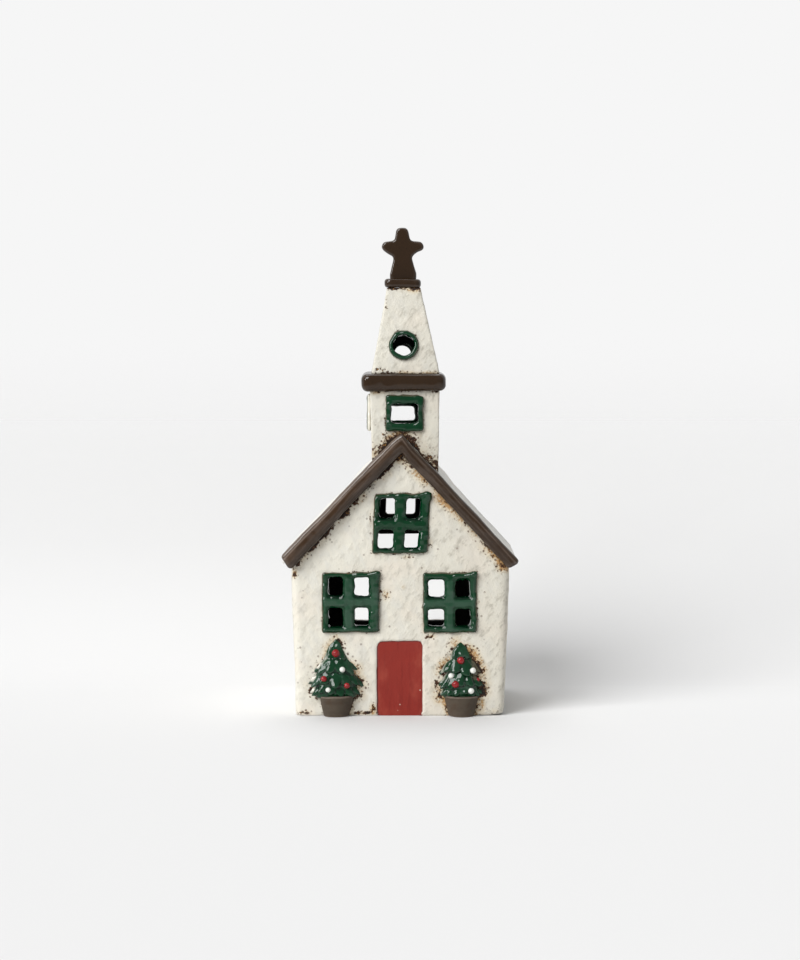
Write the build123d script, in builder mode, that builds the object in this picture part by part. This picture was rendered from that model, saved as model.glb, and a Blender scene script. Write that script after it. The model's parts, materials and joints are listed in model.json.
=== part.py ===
from build123d import *
import os
from math import atan2, cos, pi, radians, sin, tan

# A church-shaped village house of glazed stoneware slabs, which stands over a tealight.
# Millimetres. +Z is up and -Y is the front. The origin is the middle of the house's box, on its foot.

# House walls
house_depth = 88.0  # front wall's face to rear wall's face
foot_half_width = 50.3  # middle to a side wall's face, at the foot
wall_height = 72.9  # of the side walls, foot to eaves
wall_lean = 1.7  # degrees that the side walls lean out
wall = 5.0  # slab thickness
corner_round = 3.5

# Roof
roof_pitch = 46.5  # degrees
roof_slab = 5.0
eave_overhang = 4.5  # beyond the side walls
rear_overhang = 5.0
board_width = 6.7  # across the face of a bargeboard
board_projection = 5.0  # in front of the front wall
board_round = 1.6

# Tower, belt, spire, collar and cross
tower_width = 33.2  # square in plan, at its top
tower_lean = 1.0  # degrees that its side walls lean out
tower_wall = 4.5
tower_setback = 2.0  # tower's face behind the front wall's face
tower_offset = 1.5  # tower's middle to the right of the ridge
tower_rise = 21.4  # tower's top above the ridge
belt_height = 8.0
belt_overhang = 3.4
belt_round = 2.6
spire_foot_width = 32.6
spire_top_width = 15.8
spire_height = 41.2
spire_wall = 4.0
collar_width = 17.5
collar_height = 4.3
collar_round = 1.5
cross_height = 24.7
cross_span = 19.8  # tip to tip of the arms
cross_foot_width = 12.3
cross_waist_width = 8.8  # under the arms
cross_top_width = 4.8
cross_thickness = 6.0
cross_round = 1.1

# Four-pane windows
pane_width = 7.3
pane_height = 8.8
pane_round = 1.4
glazing_bar = 5.2
frame_side = 3.6
frame_rail = 3.1
frame_round = 1.6
frame_proud = 1.4  # in front of the wall
frame_edge_round = 0.6
plug_margin = 1.1  # frame's plug beyond its panes
plug_depth = 3.6  # how far it goes into the wall
joint_gap = 0.15  # slip joint around a plug, tile or bauble
gable_window_drop = 42.2  # from the ridge to the window's middle
low_window_drop = 17.9  # from the eaves to the window's middle
low_window_inset = 26.5  # from the house's corner to the window's middle

# Tower and spire windows
tower_pane_width = 13.1
tower_pane_height = 9.3
tower_frame_side = 2.7
tower_frame_rail = 4.2
tower_window_drop = 10.9  # from the tower's top to the window's middle
rear_pane_height = 6.9  # of the tower's rear window, whose foot is level with the front one's
rear_window_aside = 1.6  # rear window's middle to the left of the front one's
ring_hole = 10.2
ring_width = 2.2
ring_rise = 13.7  # from the belt's top to the front ring's middle
rear_ring_hole = 8.4
rear_ring_drop = 4.3  # rear ring's middle below the front one's

# Rear openings
hatch_width = 51.0
hatch_sill = 36.0
hatch_rise = 9.1  # hatch's top above the eaves
hatch_round = 3.5
vent_width = 15.0
vent_height = 13.0
vent_drop = 30.4  # from the ridge to the vent's top
vent_round = 1.0

# Door
door_width = 21.2
door_drop = 4.6  # from the foot of the low windows to the door's top
door_round = 2.2
door_pocket = 3.0
door_tile = 1.6

# Fir trees in relief, with pots and baubles
tree_relief = 6.2
tree_lobe = 0.15  # how deep the boughs are notched, as a share of the bough's reach
tree_lobes = 6
pot_height = 10.0
pot_rim_radius = 8.3
pot_foot_radius = 6.2
pot_relief = 7.0
red_bauble_radius = 1.7
white_bauble_radius = 1.35
# Each tree: house's corner to its middle, foot of the low window to its tip, and half width
trees = {"left": (19.7, 3.2, 13.0), "right": (20.7, 4.7, 12.0)}
# Boughs from the bottom: foot and top as shares of the height, half widths as shares of the half width
boughs = {
    "underside": (0.0, 0.09, 0.72, 1.0),
    "skirt": (0.09, 0.50, 1.0, 0.52),
    "middle": (0.32, 0.78, 0.80, 0.30),
    "crown": (0.56, 1.0, 0.50, 0.04),
}
# Baubles: bough, share up it and degrees round from the right
red_baubles = {
    "left": [("crown", 0.45, 90), ("middle", 0.04, 123), ("skirt", 0.27, 60)],
    "right": [("crown", 0.25, 90), ("skirt", 0.34, 105), ("skirt", 0.51, 26)],
}
white_baubles = {
    "left": [("middle", 0.35, 66), ("skirt", 0.07, 107)],
    "right": [("middle", 0.36, 38), ("middle", 0.13, 121), ("skirt", 0.04, 64)],
}

# Tealight
cup_radius = 19.0
cup_height = 14.5
cup_wall = 0.5
cup_lip = 0.7
wax_height = 11.5
wick_radius = 0.7
wick_above_wax = 6.0
clip_radius = 6.5
clip_thickness = 0.4
clip_neck_radius = 1.7
clip_neck_height = 3.2
tealight_gap = 0.1

# Places that follow from the sizes
box_depth = pot_relief + house_depth + rear_overhang
front = -box_depth / 2 + pot_relief
rear = front + house_depth
pitch = tan(radians(roof_pitch))
lean = tan(radians(wall_lean))
roof_drop = roof_slab / cos(radians(roof_pitch))
eave_x = foot_half_width + lean * wall_height
eave_reach = eave_x + eave_overhang
ridge_height = wall_height + pitch * eave_x + roof_drop
tower_slope = tan(radians(tower_lean))
tower_front = front + tower_setback
tower_rear = tower_front + tower_width
tower_middle = tower_front + tower_width / 2
tower_top = ridge_height + tower_rise
tower_window_height = tower_top - tower_window_drop
rear_window_height = tower_window_height - (tower_pane_height - rear_pane_height) / 2
belt_top = tower_top + belt_height
ring_height = belt_top + ring_rise
rear_ring_height = ring_height - rear_ring_drop
spire_top = belt_top + spire_height
collar_top = spire_top + collar_height
os.makedirs("parts", exist_ok=True)


def hand_in(part, name):
    """Names a finished piece and writes its file."""
    part.label = name
    export_step(part, f"parts/{name}.step")


def on_roof(half_width, slope, ridge):
    """Where a leaning face, given by its half width at height 0, meets a roof face: x and z."""
    z = (ridge - pitch * half_width) / (1 + pitch * slope)
    return half_width + slope * z, z


def front_plane(x, y, z):
    """A plane that faces the front, with its own y axis pointing up."""
    return Plane(origin=(x, y, z), x_dir=(1, 0, 0), z_dir=(0, -1, 0))


def rear_plane(x, y, z):
    """A plane that faces the rear, with its own y axis pointing up."""
    return Plane(origin=(x, y, z), x_dir=(-1, 0, 0), z_dir=(0, 1, 0))


# Sizes of the window frames and their plugs
frame_width = 2 * pane_width + glazing_bar + 2 * frame_side
frame_height = 2 * pane_height + glazing_bar + 2 * frame_rail
plug_width = 2 * (pane_width + plug_margin) + glazing_bar
plug_height = 2 * (pane_height + plug_margin) + glazing_bar
tower_plug_width = tower_pane_width + 2 * plug_margin
gable_window_height = ridge_height - gable_window_drop
low_window_height = wall_height - low_window_drop
low_window_foot = low_window_height - frame_height / 2
low_window_x = foot_half_width - low_window_inset
low_windows = {"left_window_frame": -low_window_x, "right_window_frame": low_window_x}

# Door, hatch and vent heights
door_height = low_window_foot - door_drop
hatch_height = wall_height + hatch_rise - hatch_sill
vent_middle = ridge_height - vent_drop - vent_height / 2

# Gable walls: foot corners, eaves and apex under the roof
inner_eave_x, inner_eave_z = on_roof(foot_half_width - wall, lean, ridge_height - roof_drop)
gable = [
    (-foot_half_width, 0),
    (foot_half_width, 0),
    (eave_x, wall_height),
    (0, ridge_height - roof_drop),
    (-eave_x, wall_height),
]

with BuildPart() as front_wall:
    with BuildSketch(front_plane(0, front + wall, 0)):
        with BuildLine():
            Polyline(*gable, close=True)
        make_face()
        with Locations((0, gable_window_height), *[(x, low_window_height) for x in low_windows.values()]):
            Rectangle(plug_width + 2 * joint_gap, plug_height + 2 * joint_gap, mode=Mode.SUBTRACT)
    extrude(amount=wall)
    corners = front_wall.faces().sort_by(Axis.Y)[0].outer_wire().edges().sort_by(Axis.X)
    fillet([corners[0], corners[-1]], radius=corner_round)
    with BuildSketch(front_plane(0, front, 0)) as recess:
        with Locations((0, (door_height + joint_gap) / 2)):
            Rectangle(door_width + 2 * joint_gap, door_height + joint_gap)
        fillet(recess.vertices().group_by(Axis.Z)[-1], radius=door_round)
    extrude(amount=-door_pocket, mode=Mode.SUBTRACT)
hand_in(front_wall.part, "front_wall")

with BuildPart() as door:
    with BuildSketch(front_plane(0, front + door_pocket, 0)) as leaf:
        with Locations((0, door_height / 2)):
            Rectangle(door_width, door_height)
        fillet(leaf.vertices().group_by(Axis.Z)[-1], radius=door_round)
    extrude(amount=door_tile)
hand_in(door.part, "door_tile")

with BuildPart() as rear_wall:
    with BuildSketch(front_plane(0, rear, 0)):
        with BuildLine():
            Polyline(*gable, close=True)
        make_face()
        with Locations((0, hatch_sill + hatch_height / 2)):
            RectangleRounded(hatch_width, hatch_height, hatch_round, mode=Mode.SUBTRACT)
        with Locations((0, vent_middle)):
            RectangleRounded(vent_width, vent_height, vent_round, mode=Mode.SUBTRACT)
    extrude(amount=wall)
    corners = rear_wall.faces().sort_by(Axis.Y)[-1].outer_wire().edges().sort_by(Axis.X)
    fillet([corners[0], corners[-1]], radius=corner_round)
hand_in(rear_wall.part, "rear_wall")

for side, sign in {"left": -1, "right": 1}.items():
    with BuildPart() as side_wall:
        with BuildSketch(front_plane(0, front + wall, 0)):
            with BuildLine():
                Polyline(
                    (sign * foot_half_width, 0),
                    (sign * eave_x, wall_height),
                    (sign * inner_eave_x, inner_eave_z),
                    (sign * (foot_half_width - wall), 0),
                    close=True,
                )
            make_face()
        extrude(amount=-(house_depth - 2 * wall))
    hand_in(side_wall.part, f"{side}_wall")

# Tower feet on the roof, left and right of the ridge: outer and inner faces
tower_half = tower_width / 2
tower_inner_half = tower_half - tower_wall
at_ground = tower_half - tower_slope * tower_top


def tower_foot(sign, inset):
    """Foot of a tower side face on the roof, that far inside the outer face: x and z."""
    x, z = on_roof(at_ground - inset + sign * tower_offset, tower_slope, ridge_height)
    return sign * x, z


well_left = tower_foot(-1, tower_wall)[0]
well_right = tower_foot(1, tower_wall)[0]

for side, sign in {"left": -1, "right": 1}.items():
    eave_top = ridge_height - pitch * eave_reach
    across = (-sign * sin(radians(roof_pitch)), -cos(radians(roof_pitch)))
    with BuildPart() as roof:
        with BuildSketch(front_plane(0, front, 0)):
            with BuildLine():
                Polyline(
                    (0, ridge_height),
                    (sign * eave_reach, eave_top),
                    (sign * eave_reach + roof_slab * across[0], eave_top + roof_slab * across[1]),
                    (0, ridge_height - roof_drop),
                    close=True,
                )
            make_face()
        extrude(amount=-(house_depth + rear_overhang))
        with BuildSketch(Plane.XY):
            with Locations(((well_left + well_right) / 2, tower_middle)):
                Rectangle(well_right - well_left, tower_width - 2 * tower_wall)
        extrude(amount=ridge_height + wall, mode=Mode.SUBTRACT)
    hand_in(roof.part, f"{side}_roof_slab")

    with BuildPart() as board:
        with BuildSketch(front_plane(0, front, 0)) as board_face:
            with BuildLine():
                Polyline(
                    (0, ridge_height),
                    (sign * eave_reach, eave_top),
                    (sign * eave_reach + board_width * across[0], eave_top + board_width * across[1]),
                    (0, ridge_height - board_width / cos(radians(roof_pitch))),
                    close=True,
                )
            make_face()
            ends = board_face.vertices().sort_by(Axis.X, reverse=sign > 0)[:2]
            fillet(ends, radius=board_round)
        extrude(amount=board_projection)
        rim = board.faces().sort_by(Axis.Y)[0].edges()
        fillet(rim.sort_by(Axis.X, reverse=sign > 0)[:-1], radius=board_round)
    hand_in(board.part, f"{side}_bargeboard")

# Tower walls
left_foot, right_foot = tower_foot(-1, 0), tower_foot(1, 0)
tower_outline = [
    left_foot,
    (0, ridge_height),
    right_foot,
    (tower_offset + tower_half, tower_top),
    (tower_offset - tower_half, tower_top),
]
tower_face_x = tower_half - tower_slope * (tower_top - tower_window_height)
tip = radians(tower_lean)
tower_left_plane = Plane(
    origin=(tower_offset - tower_face_x, tower_middle, tower_window_height),
    x_dir=(0, -1, 0),
    z_dir=(-cos(tip), 0, -sin(tip)),
)
# Each tower window: its plane and the height of its pane. The right wall has none.
tower_windows = {
    "front": (front_plane(tower_offset, tower_front, tower_window_height), tower_pane_height),
    "rear": (rear_plane(tower_offset - rear_window_aside, tower_rear, rear_window_height), rear_pane_height),
    "left": (tower_left_plane, tower_pane_height),
}

for side, back in {"front": tower_front + tower_wall, "rear": tower_rear}.items():
    with BuildPart() as tower_plate:
        with BuildSketch(front_plane(0, back, 0)):
            with BuildLine():
                Polyline(*tower_outline, close=True)
            make_face()
        extrude(amount=tower_wall)
        plane, pane_height = tower_windows[side]
        with BuildSketch(plane):
            Rectangle(tower_plug_width + 2 * joint_gap, pane_height + 2 * (plug_margin + joint_gap))
        extrude(amount=-2 * tower_wall, mode=Mode.SUBTRACT)
    hand_in(tower_plate.part, f"tower_{side}_wall")

for side, sign in {"left": -1, "right": 1}.items():
    with BuildPart() as tower_side:
        with BuildSketch(front_plane(0, tower_front + tower_wall, 0)):
            with BuildLine():
                Polyline(
                    tower_foot(sign, 0),
                    (tower_offset + sign * tower_half, tower_top),
                    (tower_offset + sign * tower_inner_half, tower_top),
                    tower_foot(sign, tower_wall),
                    close=True,
                )
            make_face()
        extrude(amount=-(tower_width - 2 * tower_wall))
        if side in tower_windows:
            plane, pane_height = tower_windows[side]
            with BuildSketch(plane):
                Rectangle(tower_plug_width + 2 * joint_gap, pane_height + 2 * (plug_margin + joint_gap))
            extrude(amount=-2 * tower_wall, mode=Mode.SUBTRACT)
    hand_in(tower_side.part, f"tower_{side}_wall")

with BuildPart() as belt:
    with BuildSketch(Plane.XY.offset(tower_top)):
        with Locations((tower_offset, tower_middle)):
            RectangleRounded(tower_width + 2 * belt_overhang, tower_width + 2 * belt_overhang, belt_overhang)
            Rectangle(2 * tower_inner_half, 2 * tower_inner_half, mode=Mode.SUBTRACT)
    extrude(amount=belt_height)
    for end in (0, -1):
        fillet(belt.faces().sort_by(Axis.Z)[end].outer_wire().edges(), radius=belt_round)
hand_in(belt.part, "tower_belt")

# Spire walls, mitred where they meet
spire_slope = (spire_foot_width - spire_top_width) / 2 / spire_height
spire_tip = atan2(spire_slope, 1)


def spire_face(height):
    """Distance from the spire's middle to its outer face at a height."""
    return spire_foot_width / 2 - spire_slope * (height - belt_top)


front_ring_plane = Plane(
    origin=(tower_offset, tower_middle - spire_face(ring_height), ring_height),
    x_dir=(1, 0, 0),
    z_dir=(0, -cos(spire_tip), sin(spire_tip)),
)
rear_ring_plane = Plane(
    origin=(tower_offset, tower_middle + spire_face(rear_ring_height), rear_ring_height),
    x_dir=(-1, 0, 0),
    z_dir=(0, cos(spire_tip), sin(spire_tip)),
)
# Each round window: its plane and the width of its hole
rings = {"front": (front_ring_plane, ring_hole), "rear": (rear_ring_plane, rear_ring_hole)}
# Each wall keeps the side of two upright planes on the diagonals that its arrow points to.
mitres = {
    "front": ((1, -1, 0), (-1, -1, 0)),
    "rear": ((1, 1, 0), (-1, 1, 0)),
    "left": ((-1, 1, 0), (-1, -1, 0)),
    "right": ((1, 1, 0), (1, -1, 0)),
}

for side, arrows in mitres.items():
    with BuildPart() as spire:
        for inset, mode in ((0, Mode.ADD), (2 * spire_wall, Mode.SUBTRACT)):
            with BuildSketch(Plane.XY.offset(belt_top)):
                with Locations((tower_offset, tower_middle)):
                    Rectangle(spire_foot_width - inset, spire_foot_width - inset)
            with BuildSketch(Plane.XY.offset(spire_top)):
                with Locations((tower_offset, tower_middle)):
                    Rectangle(spire_top_width - inset, spire_top_width - inset)
            loft(mode=mode)
        for arrow in arrows:
            split(bisect_by=Plane(origin=(tower_offset, tower_middle, 0), z_dir=arrow), keep=Keep.TOP)
        if side in rings:
            plane, hole = rings[side]
            with BuildSketch(plane):
                Circle(hole / 2 + plug_margin + joint_gap)
            extrude(amount=-2 * spire_wall, mode=Mode.SUBTRACT)
    hand_in(spire.part, f"spire_{side}_wall")

with BuildPart() as collar:
    with BuildSketch(Plane.XY.offset(spire_top)):
        with Locations((tower_offset, tower_middle)):
            RectangleRounded(collar_width, collar_width, 2 * collar_round)
    extrude(amount=collar_height)
    for end in (0, -1):
        fillet(collar.faces().sort_by(Axis.Z)[end].edges(), radius=collar_round)
hand_in(collar.part, "spire_collar")

# Cross: heights as shares of its own height, right half then left half
arm_half = cross_span / 2
cross_half = [
    (cross_foot_width / 2, 0),
    (cross_waist_width / 2, 0.42),
    (arm_half - cross_round, 0.525),
    (arm_half, 0.62),
    (arm_half - cross_round, 0.71),
    (cross_top_width * 0.75, 0.735),
    (cross_top_width / 2, 1),
]
cross_right = [(x, collar_top + share * cross_height) for x, share in cross_half]
cross_left = [(-x, z) for x, z in reversed(cross_right)]
with BuildPart() as cross:
    with BuildSketch(front_plane(tower_offset, tower_middle + cross_thickness / 2, 0)) as cross_face:
        with BuildLine():
            Polyline(*cross_right, *cross_left, close=True)
        make_face()
        top_corners = cross_face.vertices().group_by(Axis.Z)[-1]
        fillet(top_corners, radius=cross_top_width * 0.4)
    extrude(amount=cross_thickness)
    for end in (0, -1):
        rim = cross.faces().sort_by(Axis.Y)[end].edges()
        fillet(rim.sort_by(Axis.Z)[1:], radius=cross_round)
hand_in(cross.part, "cross")

# Four-pane frames, each seated in its wall opening by a plug
pane_step_x = (pane_width + glazing_bar) / 2
pane_step_z = (pane_height + glazing_bar) / 2
low_frames = {name: (x, low_window_height) for name, x in low_windows.items()}
for name, (x, z) in {"gable_window_frame": (0, gable_window_height), **low_frames}.items():
    with BuildPart() as frame:
        with BuildSketch(front_plane(x, front, z)):
            RectangleRounded(frame_width, frame_height, frame_round)
        extrude(amount=frame_proud)
        fillet(frame.faces().sort_by(Axis.Y)[0].edges(), radius=frame_edge_round)
        with BuildSketch(front_plane(x, front, z)):
            Rectangle(plug_width, plug_height)
        extrude(amount=-plug_depth)
        with BuildSketch(front_plane(x, front - frame_proud, z)):
            with GridLocations(2 * pane_step_x, 2 * pane_step_z, 2, 2):
                RectangleRounded(pane_width, pane_height, pane_round)
        extrude(amount=-(frame_proud + plug_depth), mode=Mode.SUBTRACT)
    hand_in(frame.part, name)

for side, (plane, pane_height) in tower_windows.items():
    with BuildPart() as tower_frame:
        with BuildSketch(plane):
            RectangleRounded(
                tower_pane_width + 2 * tower_frame_side, pane_height + 2 * tower_frame_rail, frame_round
            )
        extrude(amount=frame_proud)
        face = tower_frame.faces().sort_by(Axis(plane.origin, plane.z_dir))[-1]
        fillet(face.edges(), radius=frame_edge_round)
        with BuildSketch(plane):
            Rectangle(tower_plug_width, pane_height + 2 * plug_margin)
        extrude(amount=-plug_depth)
        with BuildSketch(plane.offset(frame_proud)):
            RectangleRounded(tower_pane_width, pane_height, pane_round)
        extrude(amount=-(frame_proud + plug_depth), mode=Mode.SUBTRACT)
    hand_in(tower_frame.part, f"tower_{side}_window_frame")

for side, (plane, hole) in rings.items():
    with BuildPart() as ring:
        with BuildSketch(plane):
            Circle(hole / 2 + ring_width)
        extrude(amount=frame_proud)
        face = ring.faces().sort_by(Axis(plane.origin, plane.z_dir))[-1]
        fillet(face.edges(), radius=frame_edge_round)
        with BuildSketch(plane):
            Circle(hole / 2 + plug_margin)
        extrude(amount=-spire_wall * 0.7)
        with BuildSketch(plane.offset(frame_proud)):
            Circle(hole / 2)
        extrude(amount=-(frame_proud + spire_wall), mode=Mode.SUBTRACT)
    hand_in(ring.part, f"spire_{side}_window_ring")


# Trees
tree_x = {tree: (-1 if tree == "left" else 1) * (foot_half_width - trees[tree][0]) for tree in trees}
tree_tip = {tree: low_window_foot - trees[tree][1] for tree in trees}


def bough_outline(reach, relief, x):
    """Half outline of a bough seen from above, notched into lobes, on the wall's face."""
    points = []
    steps = 6 * tree_lobes
    for i in range(steps + 1):
        turn = pi * i / steps
        size = 1 - tree_lobe * (1 + cos(2 * tree_lobes * turn)) / 2
        points.append((x + reach * size * cos(turn), front - relief * size * sin(turn)))
    return points


def bauble_place(tree, bough, share, angle):
    """Middle of a bauble on a bough's surface."""
    half_width = trees[tree][2]
    low, high, wide, narrow = boughs[bough]
    size = wide + share * (narrow - wide)
    z = pot_height + (low + share * (high - low)) * (tree_tip[tree] - pot_height)
    turn = radians(angle)
    return tree_x[tree] + size * half_width * cos(turn), front - size * tree_relief * sin(turn), z


for tree, x in tree_x.items():
    half_width = trees[tree][2]
    foliage_height = tree_tip[tree] - pot_height
    with BuildPart() as foliage:
        for low, high, wide, narrow in boughs.values():
            for height, size in ((low, wide), (high, narrow)):
                with BuildSketch(Plane.XY.offset(pot_height + height * foliage_height)):
                    with BuildLine():
                        Polyline(*bough_outline(size * half_width, size * tree_relief, x), close=True)
                    make_face()
            loft(ruled=True)
        for places, radius in ((red_baubles, red_bauble_radius), (white_baubles, white_bauble_radius)):
            with Locations(*[bauble_place(tree, *place) for place in places[tree]]):
                Sphere(radius + joint_gap, mode=Mode.SUBTRACT)
    hand_in(foliage.part, f"{tree}_tree")

    with BuildPart() as pot:
        rim_depth = pot_relief / pot_rim_radius
        for height, radius in ((0, pot_foot_radius), (pot_height, pot_rim_radius)):
            with BuildSketch(Plane.XY.offset(height)):
                with Locations((x, front)):
                    Ellipse(radius, radius * rim_depth)
                with Locations((x, front + pot_rim_radius)):
                    Rectangle(3 * pot_rim_radius, 2 * pot_rim_radius, mode=Mode.SUBTRACT)
        loft()
    hand_in(pot.part, f"{tree}_pot")

    for colour, places, radius in (
        ("red", red_baubles, red_bauble_radius),
        ("white", white_baubles, white_bauble_radius),
    ):
        with BuildPart() as baubles:
            with Locations(*[bauble_place(tree, *place) for place in places[tree]]):
                Sphere(radius)
        hand_in(baubles.part, f"{tree}_tree_{colour}_baubles")

# Tealight, in the middle under the house
wax_top = cup_wall + tealight_gap + wax_height
clip_top = cup_wall + clip_thickness
neck_top = clip_top + clip_neck_height

with BuildPart() as cup:
    with BuildSketch(Plane.XY):
        Circle(cup_radius)
    extrude(amount=cup_height)
    with BuildSketch(Plane.XY.offset(cup_wall)):
        Circle(cup_radius - cup_wall)
    extrude(amount=cup_height, mode=Mode.SUBTRACT)
    with BuildSketch(Plane.XY.offset(cup_height - cup_wall)):
        Circle(cup_radius + cup_lip)
        Circle(cup_radius - cup_wall, mode=Mode.SUBTRACT)
    extrude(amount=cup_wall)
hand_in(cup.part, "tealight_cup")

with BuildPart() as clip:
    with BuildSketch(Plane.XY.offset(cup_wall)):
        Circle(clip_radius)
    extrude(amount=clip_thickness)
    with BuildSketch(Plane.XY.offset(clip_top)):
        Circle(clip_neck_radius)
    extrude(amount=clip_neck_height)
    with BuildSketch(Plane.XY.offset(clip_top)):
        Circle(wick_radius + tealight_gap)
    extrude(amount=clip_neck_height, mode=Mode.SUBTRACT)
hand_in(clip.part, "wick_clip")

with BuildPart() as wax:
    with BuildSketch(Plane.XY.offset(cup_wall)):
        Circle(cup_radius - cup_wall - tealight_gap)
    extrude(amount=wax_top - cup_wall)
    with BuildSketch(Plane.XY.offset(cup_wall)):
        Circle(clip_radius + tealight_gap)
    extrude(amount=clip_thickness + tealight_gap, mode=Mode.SUBTRACT)
    with BuildSketch(Plane.XY.offset(clip_top)):
        Circle(clip_neck_radius + tealight_gap)
    extrude(amount=clip_neck_height + tealight_gap, mode=Mode.SUBTRACT)
    with BuildSketch(Plane.XY.offset(clip_top)):
        Circle(wick_radius + tealight_gap)
    extrude(amount=wax_top, mode=Mode.SUBTRACT)
hand_in(wax.part, "tealight_wax")

with BuildPart() as wick:
    with BuildSketch(Plane.XY.offset(clip_top)):
        Circle(wick_radius)
    extrude(amount=wax_top + wick_above_wax - clip_top)
hand_in(wick.part, "tealight_wick")
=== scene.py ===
"""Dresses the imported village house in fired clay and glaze, and sets it on a pale studio floor."""

import json
import math
from typing import NamedTuple

import bmesh
import bpy
import numpy as np
from bpy.props import FloatProperty, FloatVectorProperty, PointerProperty
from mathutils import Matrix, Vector
from mathutils.bvhtree import BVHTree

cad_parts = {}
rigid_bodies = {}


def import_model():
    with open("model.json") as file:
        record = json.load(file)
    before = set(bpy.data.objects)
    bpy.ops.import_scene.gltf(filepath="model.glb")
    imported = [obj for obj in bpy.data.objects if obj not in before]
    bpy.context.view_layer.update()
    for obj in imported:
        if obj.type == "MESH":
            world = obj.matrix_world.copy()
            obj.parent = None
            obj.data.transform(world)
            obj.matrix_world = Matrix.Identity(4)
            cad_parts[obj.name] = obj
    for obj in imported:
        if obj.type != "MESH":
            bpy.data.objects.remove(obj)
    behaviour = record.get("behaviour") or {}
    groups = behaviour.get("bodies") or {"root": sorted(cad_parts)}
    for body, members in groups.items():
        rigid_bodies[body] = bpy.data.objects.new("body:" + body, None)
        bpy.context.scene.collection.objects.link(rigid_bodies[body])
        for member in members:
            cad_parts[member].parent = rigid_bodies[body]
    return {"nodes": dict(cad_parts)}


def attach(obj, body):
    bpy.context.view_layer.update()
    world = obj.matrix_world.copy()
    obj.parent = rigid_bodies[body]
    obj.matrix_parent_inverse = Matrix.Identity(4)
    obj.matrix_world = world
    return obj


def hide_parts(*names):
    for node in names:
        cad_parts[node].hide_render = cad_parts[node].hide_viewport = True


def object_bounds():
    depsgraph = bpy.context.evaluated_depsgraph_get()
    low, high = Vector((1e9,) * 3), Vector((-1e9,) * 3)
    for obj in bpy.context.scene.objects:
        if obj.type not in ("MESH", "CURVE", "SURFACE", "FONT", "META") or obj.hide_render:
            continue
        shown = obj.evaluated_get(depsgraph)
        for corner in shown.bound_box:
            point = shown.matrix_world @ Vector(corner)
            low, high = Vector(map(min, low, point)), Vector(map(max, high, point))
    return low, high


bl_info = {
    "name": "Village house",
    "version": (1, 0, 0),
    "blender": (4, 5, 0),
    "location": "3D View > Sidebar > Village house",
    "description": "Clay, glaze and studio for a ceramic village house with a tower",
    "category": "Object",
}

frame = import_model()
CAD_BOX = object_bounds()

# Clay is worked in millimetres, and Blender's own sizes are in metres
MM = 0.001
HOUSE, TEALIGHT = "house", "tealight"
X, Y, Z = 0, 1, 2
FACE = [X, Z]


# Settings

def srgb(*levels):
    """Linear colour, with alpha, from display levels of 0 to 255."""
    shares = [level / 255 for level in levels]
    return (*[s / 12.92 if s <= 0.04045 else ((s + 0.055) / 1.055) ** 2.4 for s in shares], 1.0)


def colour(name, description, *levels):
    """A colour that a user may change."""
    return FloatVectorProperty(
        name=name, description=description, default=srgb(*levels),
        size=4, min=0, max=1, subtype="COLOR",
    )


def number(name, description, default, **kind):
    """A number that a user may change."""
    return FloatProperty(name=name, description=description, default=default, **kind)


def length(name, description, millimetres):
    """A size that a user may change, written here in millimetres."""
    return number(name, description, millimetres * MM, unit="LENGTH", subtype="DISTANCE")


def angle(name, description, degrees):
    """An angle that a user may change, written here in degrees."""
    return number(name, description, math.radians(degrees), subtype="ANGLE")


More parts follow.
